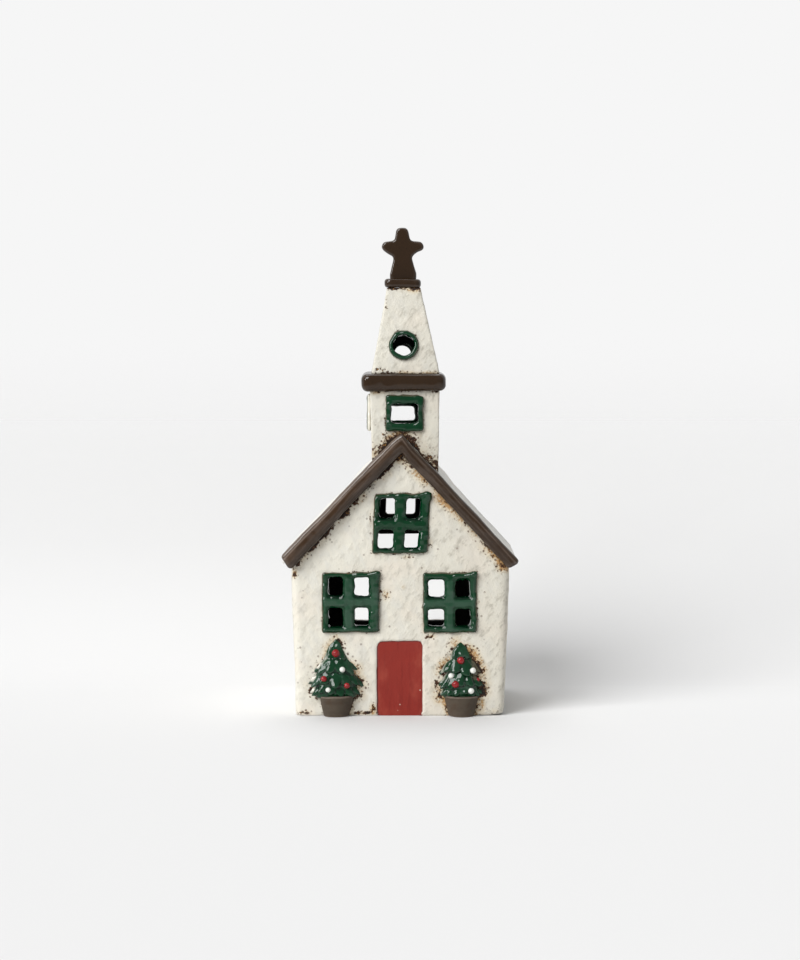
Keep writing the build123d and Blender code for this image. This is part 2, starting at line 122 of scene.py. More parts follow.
class GlazeColours(bpy.types.PropertyGroup):
    """Colours of the glazes and the bare materials."""

    cream: colour("Cream", "White glaze where it lies thick", 220, 216, 203)
    # Cream shade is both the thin white of the dabs and the colour of the painted shade towards the
    # right and on the sides
    cream_shade: colour("Cream shade", "White glaze where the brush left it thin", 178, 173, 160)
    cream_cool: colour("Cream cool", "White glaze over a grey patch of clay", 212, 210, 201)
    cream_warm: colour("Cream warm", "White glaze over a warm patch of clay", 226, 214, 198)
    roof: colour("Roof", "White of the roof where it lies thick", 218, 216, 210)
    # Roof shade is both the thin white of the roof's dabs and the colour of its painted shade
    roof_shade: colour("Roof shade", "White of the roof where it lies thin", 200, 198, 191)
    wash: colour("Wash", "Pale yellow that the rust washes into the white", 212, 190, 146)
    stain: colour("Stain", "Ochre where the white glaze breaks halfway", 170, 122, 58)
    rust: colour("Rust", "Iron brown where the white glaze breaks", 76, 44, 20)
    rust_dark: colour("Dark rust", "Iron brown at its thickest", 34, 21, 13)
    # Bare clay is laid near black: painted shade for the unlit inside of the house
    bare: colour("Bare clay", "Unglazed clay inside the house", 22, 19, 17)
    brown: colour("Brown", "Brown glaze on the trim", 47, 32, 18)
    brown_warm: colour("Brown warm", "Brown glaze where it lies thin", 73, 52, 34)
    # Pale brown of worn glaze on edges, and of the painted highlight and reflection along the trim's
    # edges and rims
    brown_wear_and_highlight: colour("Brown edge", "Brown glaze where an edge wears it thin", 146, 131, 120)
    green: colour("Green", "Green glaze where it lies thick", 2, 50, 25)
    green_thin: colour("Thin green", "Green glaze where it lies thin over the clay", 38, 70, 51)
    # Dark green of pooled glaze, and of the painted shade in hollows and the trees' creases
    green_pool_and_shade: colour("Green pool", "Green glaze where it pools", 1, 30, 15)
    green_edge: colour("Green edge", "Green glaze where it breaks on an edge", 92, 84, 68)
    red: colour("Red", "Red glaze of the door", 134, 46, 38)
    red_light: colour("Light red", "Red glaze where it lies thin", 164, 78, 62)
    red_streak: colour("Red streak", "Red glaze where the brush laid it thick", 112, 34, 30)
    bauble_red: colour("Bauble red", "Red of the baubles", 146, 22, 28)
    bauble_white: colour("Bauble white", "White of the baubles", 232, 234, 228)
    pot: colour("Pot", "Grey-brown glaze of the pots", 80, 71, 61)
    pot_shade: colour("Pot shade", "Pots where the glaze is thick", 66, 57, 49)
    aluminium: colour("Aluminium", "Tealight cup", 205, 206, 208)
    wax: colour("Wax", "Tealight wax", 236, 232, 220)
    cotton: colour("Cotton", "Wick", 226, 218, 198)
    steel: colour("Steel", "Wick clip", 150, 152, 156)
    floor: colour("Floor", "Paper under the house", 230, 230, 230)
    sweep: colour("Sweep", "Paper where it curves up behind the house", 214, 214, 214)
    backdrop: colour("Backdrop", "Light ground behind the paper", 246, 246, 246)


class ClaySizes(bpy.types.PropertyGroup):
    """How finely the clay is worked, and how uneven the hand left it."""

    wall_grain: length("Wall grain", "Facets of the house walls and the roof", 0.83)
    tower_grain: length("Tower grain", "Facets of the tower and spire", 0.55)
    trim_grain: length("Trim grain", "Facets of the brown trim", 0.42)
    cross_grain: length("Cross grain", "Facets of the cross", 0.28)
    window_grain: length("Window grain", "Facets of the window frames and the door", 0.34)
    tree_grain: length("Tree grain", "Facets of the trees and pots", 0.28)
    plaster: length("Plaster", "Depth of the brushed texture on the white walls", 0.26)
    waviness: length("Waviness", "How far edges and faces wander", 0.35)


class StudioSettings(bpy.types.PropertyGroup):
    """Camera and light."""

    lens: number("Lens", "Focal length for a 36 mm high sensor", 94.1)
    camera_distance: length("Camera distance", "In front of the house's middle", 1243)
    camera_height: length("Camera height", "Above the floor", 198)
    camera_tilt: angle("Camera tilt", "Below the horizon", 4.0)
    key_height: angle("Key height", "Soft lamp above the horizon", 37)
    key_side: angle("Key side", "Soft lamp to the left of the camera", 40)
    key_strength: number("Key", "Strength of the soft lamp", 2.65)
    key_softness: angle("Key softness", "Width of the soft lamp in the sky", 36)
    back_height: angle("Back height", "Lamp from behind above the horizon", 68)
    back_side: angle("Back side", "Lamp from behind, to the left of the camera", 165)
    back_strength: number("Back", "Strength of the lamp from behind", 0.9)
    back_softness: angle("Back softness", "Width of the lamp from behind in the sky", 40)
    spark_height: angle("Spark height", "Small lamp above the horizon", 14)
    spark_side: angle("Spark side", "Small lamp to the left of the camera", 60)
    spark_strength: number("Spark", "Strength of the lamp for the glints", 0.6)
    spark_softness: angle("Spark softness", "Width of the small lamp in the sky", 16)
    sky: number("Sky", "Strength of the light from all round", 0.31)
    sweep_start: length("Sweep start", "Where the paper curves up, behind the house's middle", 52)
    sweep_radius: length("Sweep radius", "How tightly the paper curves up", 210)


# Node trees

class Value:
    """A node's output that takes Python's arithmetic, each step as a Math node."""

    def __init__(self, nodes, socket):
        self.nodes = nodes
        self.socket = socket

    def math(self, operation, *values):
        return self.nodes.node("ShaderNodeMath", {"operation": operation}, dict(enumerate(values)))

    def __add__(self, other):
        return self.math("ADD", self, other)

    def __radd__(self, other):
        return self.math("ADD", other, self)

    def __sub__(self, other):
        return self.math("SUBTRACT", self, other)

    def __rsub__(self, other):
        return self.math("SUBTRACT", other, self)

    def __mul__(self, other):
        return self.math("MULTIPLY", self, other)

    def __rmul__(self, other):
        return self.math("MULTIPLY", other, self)

    def __abs__(self):
        return self.math("ABSOLUTE", self)

    def at_most(self, other):
        return self.math("MINIMUM", self, other)

    def rise(self, low, high):
        """0 below `low`, 1 above `high`, and smooth between."""
        return self.nodes.node(
            "ShaderNodeMapRange",
            {"interpolation_type": "SMOOTHSTEP"},
            {"Value": self, "From Min": low, "From Max": high},
        )


class Nodes:
    """The node tree of a new material or world, under construction."""

    def __init__(self, owner):
        owner.use_nodes = True
        self.owner = owner
        self.tree = owner.node_tree
        self.tree.nodes.clear()

    def node(self, kind, settings=None, sockets=None, output=0):
        """Adds a node with its settings and the values or links of its sockets.

        Returns one of the node's outputs, if it has any.
        """
        made = self.tree.nodes.new(kind)
        for name, value in (settings or {}).items():
            setattr(made, name, value)
        for name, value in (sockets or {}).items():
            if isinstance(value, Value):
                self.tree.links.new(value.socket, made.inputs[name])
            else:
                made.inputs[name].default_value = value
        return Value(self, made.outputs[output]) if made.outputs else None

    def place(self, stretch=(1, 1, 1), tilt=0):
        """Place on the object, in metres, turned in the front's plane and with axes multiplied."""
        spot = self.node("ShaderNodeTexCoord", output="Object")
        if tilt:
            turn = {"Vector": spot, "Angle": math.radians(tilt)}
            spot = self.node("ShaderNodeVectorRotate", {"rotation_type": "Y_AXIS"}, turn)
        return self.node("ShaderNodeVectorMath", {"operation": "MULTIPLY"}, {0: spot, 1: stretch})

    def axis(self, vector, name):
        """One coordinate of a vector."""
        return self.node("ShaderNodeSeparateXYZ", None, {0: vector}, output=name)

    def noise(self, millimetres, detail=2.0, rough=0.5, stretch=(1, 1, 1), tilt=0):
        """Cloudy noise from 0 to 1, with clouds about that size."""
        sockets = {
            "Vector": self.place(stretch, tilt),
            "Scale": 1 / (millimetres * MM),
            "Detail": detail,
            "Roughness": rough,
        }
        return self.node("ShaderNodeTexNoise", None, sockets)

    def dots(self, millimetres):
        """Distance to scattered points about that far apart, from 0 at a point."""
        sockets = {"Vector": self.place(), "Scale": 1 / (millimetres * MM)}
        return self.node("ShaderNodeTexVoronoi", None, sockets)

    def mark(self, name):
        """A mark that the clay carries on its points, or 0 where it has none."""
        return self.node("ShaderNodeAttribute", {"attribute_name": name}, output="Fac")

    def layers(self, base, *coats):
        """Colour of coats over a base, one after the other. Each coat is a share and a colour."""
        for share, tint in coats:
            sockets = {0: share, 6: base, 7: tint}
            base = self.node("ShaderNodeMix", {"data_type": "RGBA"}, sockets, output=2)
        return base

    def surface(self, base, roughness, height=None, relief=0.1, **constants):
        """Ends the tree in a shader and returns its material.

        `relief` is the depth of the height map in millimetres.
        """
        sockets = {"Base Color": base, "Roughness": roughness, **constants}
        if height is not None:
            bump = {"Height": height, "Distance": relief * MM, "Strength": 1.0}
            sockets["Normal"] = self.node("ShaderNodeBump", None, bump)
        shader = self.node("ShaderNodeBsdfPrincipled", None, sockets)
        self.node("ShaderNodeOutputMaterial", None, {"Surface": shader})
        return self.owner


def new_finish(name):
    """Nodes of a new material."""
    return Nodes(bpy.data.materials.new(name))


# Finishes

ROOF_PITCH = 46.5


def white_glaze(paint, name, thick, thin):
    """White glaze, brushed on in dabs, that breaks to ochre and rust beside the trim."""
    glaze = new_finish(name)
    cloud = glaze.noise(17, 3)
    stroke = glaze.noise(4.2, 5, 0.66, stretch=(1.0, 1.0, 0.4), tilt=24)
    dapple = glaze.noise(2.1, 4, 0.62, stretch=(1.0, 1.0, 0.5), tilt=-32)
    clump = glaze.noise(3.0, 2)
    ragged = glaze.noise(1.2, 5, 0.72)
    grain = glaze.noise(0.6, 3, 0.6)
    rust, stain = glaze.mark("rust"), glaze.mark("stain")
    shade, inside = glaze.mark("shade"), glaze.mark("inside")
    edge = (ragged - 0.5) * 1.6 + (clump - 0.5) * 1.5
    broken = (rust + edge).rise(0.55, 0.68)
    deep = (rust + edge).rise(0.70, 0.90)
    wash = (stain + (stroke - 0.5) * 0.9).rise(0.15, 0.9)
    ochre = (stain + (ragged - 0.5) * 2.6).rise(0.60, 0.95)
    pits = glaze.dots(5.5).rise(0.13, 0.07) * glaze.noise(11, 1).rise(0.48, 0.56)
    near = (rust * 0.8 + stain * 0.8 + (cloud - 0.5) * 0.4).rise(0.18, 0.45)
    flecks = glaze.dots(1.9).rise(0.36, 0.22) * near * ragged.rise(0.44, 0.54)
    crumbs = glaze.dots(1.2).rise(0.30, 0.18) * broken * clump.rise(0.5, 0.6)
    base = glaze.layers(
        thick,
        (stroke.rise(0.42, 0.66) * 0.7, paint.cream_cool),
        (cloud.rise(0.46, 0.70) * 0.4, paint.cream_warm),
        # Painted shade: towards the right of the front, the white turns to the thin colour and its
        # dabs grow stronger
        (dapple.rise(0.48, 0.70) * (0.38 + shade * 0.35) + shade * 0.31, thin),
        (wash * 0.5, paint.wash),
        (ochre * 0.8, paint.stain),
        (pits * 0.5, paint.rust),
        (flecks * 0.9, paint.rust),
        (broken, paint.rust),
        (deep, paint.rust_dark),
        (crumbs * 0.8, paint.stain),
        (glaze.mark("door"), paint.red_streak),
        # Painted shade: the unglazed inside is laid near black
        (inside, paint.bare),
    )
    roughness = 0.34 + dapple * 0.2 + broken * 0.1 + inside * 0.3
    height = stroke * 0.55 + dapple * 0.5 + grain * 0.14 - ochre * 0.15 - broken * 0.35
    return glaze.surface(base, roughness, height, 0.62, **{"Specular IOR Level": 0.3})


def brown_glaze(paint):
    """Brown glossy glaze, brushed along the boards, that is pale on edges, partly from wear and
    partly as painted reflection.
    """
    glaze = new_finish("brown_glaze")
    cloud = glaze.noise(6, 3, 0.55)
    speck = glaze.noise(0.9, 3, 0.6)
    lay = 90 - ROOF_PITCH
    rising, falling = [
        glaze.noise(1.7, 4, 0.6, stretch=(1.0, 1.0, 0.12), tilt=tilt) * glaze.mark(board)
        for board, tilt in (("rising", -lay), ("falling", lay))
    ]
    streak = (rising + falling).rise(0.46, 0.70)
    # Pale edges: partly worn glaze, partly painted reflection of the bright room on rounded edges
    worn = (glaze.mark("edge") + (cloud - 0.5) * 0.3).rise(0.25, 0.85)
    thin = (glaze.mark("thin") + (cloud - 0.5) * 0.9).rise(0.25, 0.9)
    base = glaze.layers(
        paint.brown,
        (thin * (0.55 + streak * 0.45), paint.brown_warm),
        (streak * 0.1, paint.brown_wear_and_highlight),
        (glaze.mark("line"), paint.brown_wear_and_highlight),
        (worn * 0.06, paint.brown_wear_and_highlight),
        (speck.rise(0.58, 0.70) * 0.5, paint.rust_dark),
    )
    height = cloud * 0.7 + streak * 0.3 + speck * 0.25
    gloss = {
        "Coat Weight": worn * 0.3 + 0.7,
        "Coat Roughness": 0.06,
        "Coat IOR": 1.5,
        "Specular IOR Level": 0.0,
    }
    return glaze.surface(base, 0.34 + speck * 0.12, height, 0.16, **gloss)


def green_glaze(paint, name, edge_share, wet):
    """Glossy green: grey where thin, dark where it pools and in hollows, partly as painted shade,
    brown where it breaks on an edge.
    """
    glaze = new_finish(name)
    cloud = glaze.noise(4.5, 3, 0.55)
    speck = glaze.noise(0.8, 3, 0.6)
    pool = (glaze.mark("pool") + (cloud - 0.5) * 0.7).rise(0.22, 0.85)
    thin = (glaze.mark("thin") + (cloud - 0.5) * 0.7).rise(0.20, 0.95)
    broken = (glaze.mark("rim") + (speck - 0.5) * 1.3 + (cloud - 0.5) * 1.2).rise(0.55, 0.95)
    bare = (glaze.mark("bare") + (speck - 0.5) * 0.9).rise(0.40, 0.75)
    base = glaze.layers(
        paint.green,
        (thin, paint.green_thin),
        (pool, paint.green_pool_and_shade),
        (broken * edge_share, paint.green_edge),
        (bare * 0.8, paint.green_edge),
        # White where marked: painted reflection on the tower's left frame, and white over the trees'
        # left rims
        (glaze.mark("white"), paint.cream),
    )
    gloss = {
        "Coat Weight": glaze.mark("edge").rise(0.1, 0.7) * (1 - wet) + wet,
        "Coat Roughness": 0.05,
        "Coat IOR": 1.5,
        "Specular IOR Level": 0.0,
    }
    height = cloud * 0.8 + speck * 0.2
    return glaze.surface(base, 0.22 + speck * 0.12 + bare * 0.2, height, 0.3, **gloss)


def red_glaze(paint):
    """Brick red door glaze with faint upright brush strokes."""
    glaze = new_finish("door_red")
    streak = glaze.noise(2.0, 3, 0.55, stretch=(1.0, 1.0, 0.10))
    cloud = glaze.noise(8, 3, 0.55, stretch=(1.0, 1.0, 0.5))
    speck = glaze.noise(0.9, 3, 0.6)
    edge = (glaze.mark("edge") + (speck - 0.5) * 0.8).rise(0.4, 1.0)
    base = glaze.layers(
        paint.red,
        (streak.rise(0.48, 0.74) * 0.45, paint.red_streak),
        (cloud.rise(0.48, 0.74) * 0.5, paint.red_light),
        (edge * 0.6, paint.red_streak),
        (glaze.dots(5.0).rise(0.09, 0.05) * 0.5, paint.cream_warm),
    )
    height = streak * 0.6 + cloud * 0.5 + speck * 0.15
    gloss = {"Coat Weight": edge * 0.7, "Coat Roughness": 0.08, "Specular IOR Level": 0.16}
    return glaze.surface(base, 0.30 + streak * 0.12, height, 0.2, **gloss)


def pot_glaze(paint):
    """Grey-brown satin glaze, wiped on in rings."""
    glaze = new_finish("pot_glaze")
    rings = glaze.noise(3.0, 3, 0.55, stretch=(0.3, 0.3, 1.0))
    cloud = glaze.noise(4.5, 3)
    speck = glaze.noise(0.7, 3, 0.6)
    base = glaze.layers(
        paint.pot,
        (rings.rise(0.42, 0.70) * 0.5, paint.pot_shade),
        (cloud.rise(0.50, 0.75) * 0.4, paint.brown_warm),
        (glaze.mark("edge").rise(0.3, 1.0) * 0.35, paint.brown_wear_and_highlight),
        (speck.rise(0.62, 0.74) * 0.35, paint.rust_dark),
    )
    height = rings * 0.4 + cloud * 0.3 + speck * 0.3
    return glaze.surface(base, 0.42 + speck * 0.15, height, 0.14, **{"Specular IOR Level": 0.12})


class CloudyFinish(NamedTuple):
    """A finish of two colours that mix in clouds."""

    first: str
    second: str
    clouds: tuple    # size in millimetres, detail, roughness
    upright: float   # stretch of the clouds along Z
    turn: tuple      # where the clouds turn to the second colour
    share: float     # most that shows of the second colour
    rough: tuple     # roughness, and what the clouds add
    relief: float    # depth of the clouds in millimetres
    metal: float = 0.0


CLOUDY_FINISHES = {
    "bauble_red": CloudyFinish(
        "bauble_red", "red_streak", (1.1, 2, 0.5), 1.0, (0.42, 0.70), 0.6, (0.1, 0.1), 0.06),
    "bauble_white": CloudyFinish(
        "bauble_white", "cream_cool", (1.1, 2, 0.5), 1.0, (0.42, 0.70), 0.6, (0.12, 0.1), 0.06),
    "pressed_aluminium": CloudyFinish(
        "aluminium", "steel", (0.6, 4, 0.6), 0.08, (0.5, 0.7), 0.4, (0.26, 0.2), 0.03, 1.0),
    "poured_wax": CloudyFinish(
        "wax", "cream_shade", (5, 3, 0.5), 1.0, (0.4, 0.7), 0.35, (0.36, 0.12), 0.08),
    "braided_cotton": CloudyFinish(
        "cotton", "stain", (0.35, 2, 0.5), 0.6, (0.4, 0.65), 0.7, (0.8, 0.1), 0.1),
    "stamped_steel": CloudyFinish(
        "steel", "aluminium", (1.5, 3, 0.5), 1.0, (0.4, 0.7), 0.5, (0.3, 0.2), 0.03, 1.0),
}


def cloudy_finish(paint, name):
    """One of the finishes of two colours."""
    look = CLOUDY_FINISHES[name]
    finish = new_finish(name)
    cloud = finish.noise(*look.clouds, stretch=(1.0, 1.0, look.upright))
    second = (cloud.rise(*look.turn) * look.share, getattr(paint, look.second))
    base = finish.layers(getattr(paint, look.first), second)
    rough, more = look.rough
    return finish.surface(base, rough + cloud * more, cloud, look.relief, Metallic=look.metal)


# Clay

# Moves of a point towards its neighbours in one rub, and back out again
RUB, FILL_OUT = 0.5, 0.52
# Rounds of evening out when the clay's edges and hollows are found
EVEN_ROUNDS = 2


def node_points(*names):
    """Corner points of CAD nodes, in millimetres."""
    return np.array([v.co for name in names for v in frame["nodes"][name].data.vertices]) / MM


def span(*names):
    """Lowest and highest corner over CAD nodes, in millimetres."""
    points = node_points(*names)
    return points.min(axis=0), points.max(axis=0)


def lumps(points, across, seed):
    """Smooth seeded noise from -1 to 1, with lumps that many millimetres across."""
    place = points / across + seed * 7.31
    cell = np.floor(place).astype(np.int64)
    part = place - cell
    part = part * part * (3 - 2 * part)
    total = np.zeros(len(points))
    for corner in np.ndindex(2, 2, 2):
        key = ((cell + corner) * (73856093, 19349663, 83492791)).sum(axis=1) + seed * 2654435
        key = ((key ^ (key >> 13)) * 1274126177) & 0x7FFFFFFF
        key = ((key ^ (key >> 11)) * 668265263) & 0x7FFFFFFF
        weight = np.where(corner, part, 1 - part).prod(axis=1)
        total += weight * (key / 0x3FFFFFFF - 1)
    return total


def smooth_step(low, high, values):
    """0 below `low`, 1 above `high`, and smooth between."""
    share = np.clip((values - low) / (high - low), 0, 1)
    return share * share * (3 - 2 * share)


def between(first, second, share):
    """`first` where the share is 0, up to `second` where it is 1."""
    return first + (second - first) * share


def circle(count):
    """Angles of points round a full turn."""
    return np.linspace(0, 2 * math.pi, count, endpoint=False)


def ring_points(x, y, z):
    """Points of a ring from their coordinates, any of which may be one number."""
    return np.stack(np.broadcast_arrays(x, y, z), axis=1)


def node_mesh(names):
    """One mesh of CAD nodes together."""
    joined = bmesh.new()
    for name in names:
        joined.from_mesh(frame["nodes"][name].data)
    mesh = bpy.data.meshes.new(names[0])
    joined.to_mesh(mesh)
    joined.free()
    return mesh


def skin_mesh(name, skins):
    """One mesh of closed skins. Each is a list of rings with the same count of points."""
    points, faces = [], []
    for rings in skins:
        count = len(rings[0])
        first = len(points)
        for ring in rings:
            points.extend(ring)
        for row in range(len(rings) - 1):
            low = first + row * count
            for i in range(count):
                after = (i + 1) % count
                faces.append((low + i, low + after, low + count + after, low + count + i))
        faces.append(tuple(range(first + count - 1, first - 1, -1)))
        faces.append(tuple(range(len(points) - count, len(points))))
    mesh = bpy.data.meshes.new(name)
    mesh.from_pydata([tuple(c * MM for c in point) for point in points], [], faces)
    return mesh


class Clay:
    """One piece of clay while it is worked. Its points are in millimetres."""

    def __init__(self, name, nodes, grain, skins=None):
        """Takes the CAD nodes that the piece replaces, and closed skins if it has its own shape.

        It is cut into even facets `grain` metres wide, or left as it is where the grain is 0.
        """
        mesh = node_mesh(nodes) if skins is None else skin_mesh(name, skins)
        self.nodes = nodes
        self.piece = bpy.data.objects.new(name, mesh)
        self.grain = grain / MM
        bpy.context.scene.collection.objects.link(self.piece)
        if grain:
            remesh = self.piece.modifiers.new("Even facets", "REMESH")
            remesh.mode = "VOXEL"
            remesh.voxel_size = grain
            graph = bpy.context.evaluated_depsgraph_get()
            even = bpy.data.meshes.new_from_object(self.piece.evaluated_get(graph))
            self.piece.modifiers.clear()
            self.piece.data = even
            bpy.data.meshes.remove(mesh)
            even.name = name
        mesh = self.piece.data
        self.points = np.empty(len(mesh.vertices) * 3)
        mesh.vertices.foreach_get("co", self.points)
        self.points = self.points.reshape(-1, 3) / MM
        ends = np.empty(len(mesh.edges) * 2, np.int32)
        mesh.edges.foreach_get("vertices", ends)
        self.ends = ends.reshape(-1, 2).T
        self.neighbours = np.bincount(ends, minlength=len(self.points))

    def around(self, values):
        """Mean over each point's neighbours."""
        start, end = self.ends
        count = len(self.points)
        sums = [
            np.bincount(start, column[end], count) + np.bincount(end, column[start], count)
            for column in values.reshape(count, -1).T
        ]
        return (np.array(sums) / self.neighbours).T.reshape(values.shape)

    def rub(self, rounds, keep=0.0):
        """Rubs the surface smooth, as wet fingers do.

        `keep` is how far the worn edges fill out again.
        """
        for _ in range(rounds):
            self.points += RUB * (self.around(self.points) - self.points)
            if keep:
                self.points -= FILL_OUT * keep * (self.around(self.points) - self.points)
        return self

    def normals(self):
        """Sets the mesh to the points and returns the directions that it faces."""
        mesh = self.piece.data
        mesh.vertices.foreach_set("co", (self.points * MM).ravel())
        mesh.update()
        facing = np.empty(len(self.points) * 3, np.float32)
        mesh.vertex_normals.foreach_get("vector", facing)
        return facing.reshape(-1, 3)

    def dent(self, depth, across, seed):
        """Pushes the surface in and out by up to `depth`, in lumps that far across."""
        self.points += self.normals() * (depth * lumps(self.points, across, seed))[:, None]
        return self

    def swell(self, depth):
        """Lets the surface grow outwards by `depth`."""
        self.points += depth * self.normals()
        return self

    def wander(self, reach, across, seed):
        """Lets the whole shape drift sideways and up by up to `reach`."""
        shifts = [lumps(self.points, across, seed + i) for i in range(3)]
        self.points += reach * np.stack(shifts, axis=1)
        return self

    def lean(self, foot, top):
        """Moves the piece along X by `foot` at its lowest point, up to `top` at its highest."""
        heights = self.points[:, Z]
        shift = np.interp(heights, (heights.min(), heights.max()), (foot, top))
        self.points[:, X] += shift
        return self

    def recut(self, axis, drawn, cut):
        """Moves drawn edges along an axis to where the hand cut them."""
        beyond = 10
        drawn = (drawn[0] - beyond, *drawn, drawn[-1] + beyond)
        cut = (cut[0] - beyond, *cut, cut[-1] + beyond)
        self.points[:, axis] = np.interp(self.points[:, axis], drawn, cut)

    def mark(self, name, values):
        """Gives the points a mark that the glazes read."""
        layer = self.piece.data.attributes.new(name, "FLOAT", "POINT")
        layer.data.foreach_set("value", np.asarray(values, np.float32))
        return self

    def mark_edges(self, radius, pooled=0.0):
        """Marks outer edges and hollows, in full where they turn on that radius.

        `pooled` adds to the hollows.
        """
        turn = ((self.points - self.around(self.points)) * self.normals()).sum(axis=1)
        for _ in range(EVEN_ROUNDS):
            turn = self.around(turn)
        turn = turn * 4 * radius / self.grain ** 2
        self.mark("edge", np.clip(turn, 0, 1))
        self.mark("pool", np.clip(np.maximum(-turn, pooled), 0, 1))
        return self

    def fire(self, material, slot, body=HOUSE):
        """Fixes the shape inside the CAD box and puts the piece on its body, for its nodes."""
        low, high = [np.array(corner) / MM for corner in CAD_BOX]
        self.points = np.clip(self.points, low, high)
        self.normals()
        self.piece.data.materials.clear()
        self.piece.data.materials.append(material)
        self.piece.data.shade_smooth()
        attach(self.piece, body)
        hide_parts(*self.nodes)


def nearness(points, piece, reach):
    """1 where a point touches a piece, down to 0 at `reach` millimetres."""
    near = np.zeros(len(points))
    corners = np.array([tuple(corner) for corner in piece.bound_box]) / MM
    inside = (points > corners.min(axis=0) - reach) & (points < corners.max(axis=0) + reach)
    skin = BVHTree.FromObject(piece, bpy.context.evaluated_depsgraph_get())
    for i in np.flatnonzero(inside.all(axis=1)):
        distance = skin.find_nearest(Vector(points[i] * MM), reach * MM)[3]
        if distance is not None:
            near[i] = 1 - distance / MM / reach
    return near


# Brown trim

# How far the apex of the house, and the foot of its tower, lean to the right
APEX_LEAN = 1.1
# Height of the boards' flat face, how steeply it falls back below that, and their extra width
BOARD_FACE, BOARD_BEVEL, BOARD_WIDER = 4.0, 0.2, 1.008
# How far the left and the right board lie above the drawn ones, along the top and along the foot
TOP_RISE, FOOT_RISE = (1.5, -0.2), (1.4, 0.6)
# How far the left board's foot drops again towards the eave, and where that starts
EAVE_DROP, EAVE_START = 0.9, -15
# Level bands: piece, node, rounds of rubbing, swelling and shift to the right
BANDS = (("belt", "tower_belt", 9, 0.3, 0.2), ("collar", "spire_collar", 4, 0.0, -0.2))
# The cross: how far its foot sinks, its width at the foot, the neck and above against the drawn
# one, how far the arms' undersides rise, and how far its top leans
CROSS_SINK, CROSS_WIDTHS, ARM_RISE, CROSS_LEAN = 2.2, (1.12, 0.93, 1.03), 0.8, -0.5
# Size of the lumps in which the trim wanders and is dented
TRIM_WANDER, TRIM_DENT = 14, 3.5


def below_roof(points, ridge):
    """Distance of points under the roof's upper faces, in millimetres."""
    pitch = math.radians(ROOF_PITCH)
    return (ridge - np.abs(points[:, X]) * math.tan(pitch) - points[:, Z]) * math.cos(pitch)


def line_at(distances, wide):
    """1 on a line, down to 0 on either side of it."""
    return np.exp(-(distances / wide) ** 2)


class VILLAGE_OT_trim(bpy.types.Operator):
    """Makes the bargeboards, the belt, the collar and the cross"""

    bl_idname = "village.trim"
    bl_label = "Brown trim"

    def execute(self, context):
        sizes = context.scene.village_sizes
        brown = brown_glaze(context.scene.village_colours)
        self.boards(sizes, brown)
        self.cross(sizes, brown)
        for seed, (name, node, rounds, fuller, aside) in enumerate(BANDS, start=1):
            clay = Clay(name, [node], sizes.trim_grain).rub(rounds).swell(fuller)
            clay.wander(0.6 * sizes.waviness / MM, TRIM_WANDER, seed)
            clay.dent(0.12, TRIM_DENT, seed + 40).lean(aside, aside).mark_edges(1.0)
            clay.fire(brown, "brown_glaze")
        return {"FINISHED"}

    def cross(self, sizes, brown):
        """The cross, sunk a little into the collar."""
        low, high = span("cross")
        clay = Clay("roof_cross", ["cross"], sizes.cross_grain)
        x, _, z = clay.points.T
        z -= CROSS_SINK * smooth_step(low[Z] + 2, low[Z], z)
        clay.rub(9).swell(0.15).wander(0.2, TRIM_WANDER, 3).dent(0.1, TRIM_DENT, 43)
        top = z.max()
        z += smooth_step(top - 6, top, z) * (high[Z] - top)
        arms = z[np.abs(x) > 0.8 * high[X]]
        neck = arms.min() - 1
        x *= np.interp(z, (low[Z], neck, neck + 2), CROSS_WIDTHS)
        under = smooth_step(arms.mean(), arms.min(), z)
        z += ARM_RISE * under * smooth_step(0.45 * high[X], 0.8 * high[X], np.abs(x))
        clay.lean(0.0, CROSS_LEAN).mark_edges(1.0).fire(brown, "brown_glaze")

    def boards(self, sizes, brown):
        """Both bargeboards, with a bevel below, a pale line along the crease, and a pale line of
        painted highlight along the rim.
        """
        nodes = ["left_bargeboard", "right_bargeboard"]
        wall = span("front_wall")[0][Y]
        low, high = span(*nodes)
        clay = Clay("bargeboards", nodes, sizes.trim_grain)
        x, y, z = clay.points.T
        below = below_roof(clay.points, high[Z])
        forward = np.clip((wall - y) / (wall - low[Y]), 0, 1)
        y += forward * BOARD_BEVEL * np.clip(below - BOARD_FACE, 0, None)
        clay.rub(5).swell(0.25)
        x *= BOARD_WIDER
        left = smooth_step(4, -4, x)
        top, foot = [
            between(right_rise, left_rise, left) for left_rise, right_rise in (TOP_RISE, FOOT_RISE)
        ]
        foot = foot - EAVE_DROP * left * smooth_step(EAVE_START, -high[X], x)
        z += between(foot, top, smooth_step(6, 1, below)) / math.cos(math.radians(ROOF_PITCH))
        patchy = np.clip(0.5 + 0.6 * lumps(clay.points, 7, 8), 0, 1)
        crease = BOARD_FACE + 0.1 + 0.35 * lumps(clay.points, 9, 6)
        rim = 1.7 + 0.3 * lumps(clay.points, 12, 9)
        line = 0.1 * line_at(below - crease, 0.45) * patchy
        # Painted highlight along the rim and the left board's top edge, strongest on the left board,
        # which faces the light; partly worn glaze
        line += (0.3 + 0.45 * left) * line_at(below - rim, 0.35) * np.clip(patchy + 0.3, 0, 1)
        line += 0.3 * left * smooth_step(1.2, 0.5, below)
        clay.wander(sizes.waviness / MM, TRIM_WANDER, 0).dent(0.14, TRIM_DENT, 40)
        clay.lean(0.0, APEX_LEAN).mark_edges(1.5).mark("line", line * forward)
        flat = smooth_step(BOARD_FACE + 1.2, BOARD_FACE - 0.4, below)
        clay.mark("thin", (0.15 + 0.5 * left) * flat)
        clay.mark("rising", left).mark("falling", 1 - left)
        clay.fire(brown, "brown_glaze")


# Windows and door

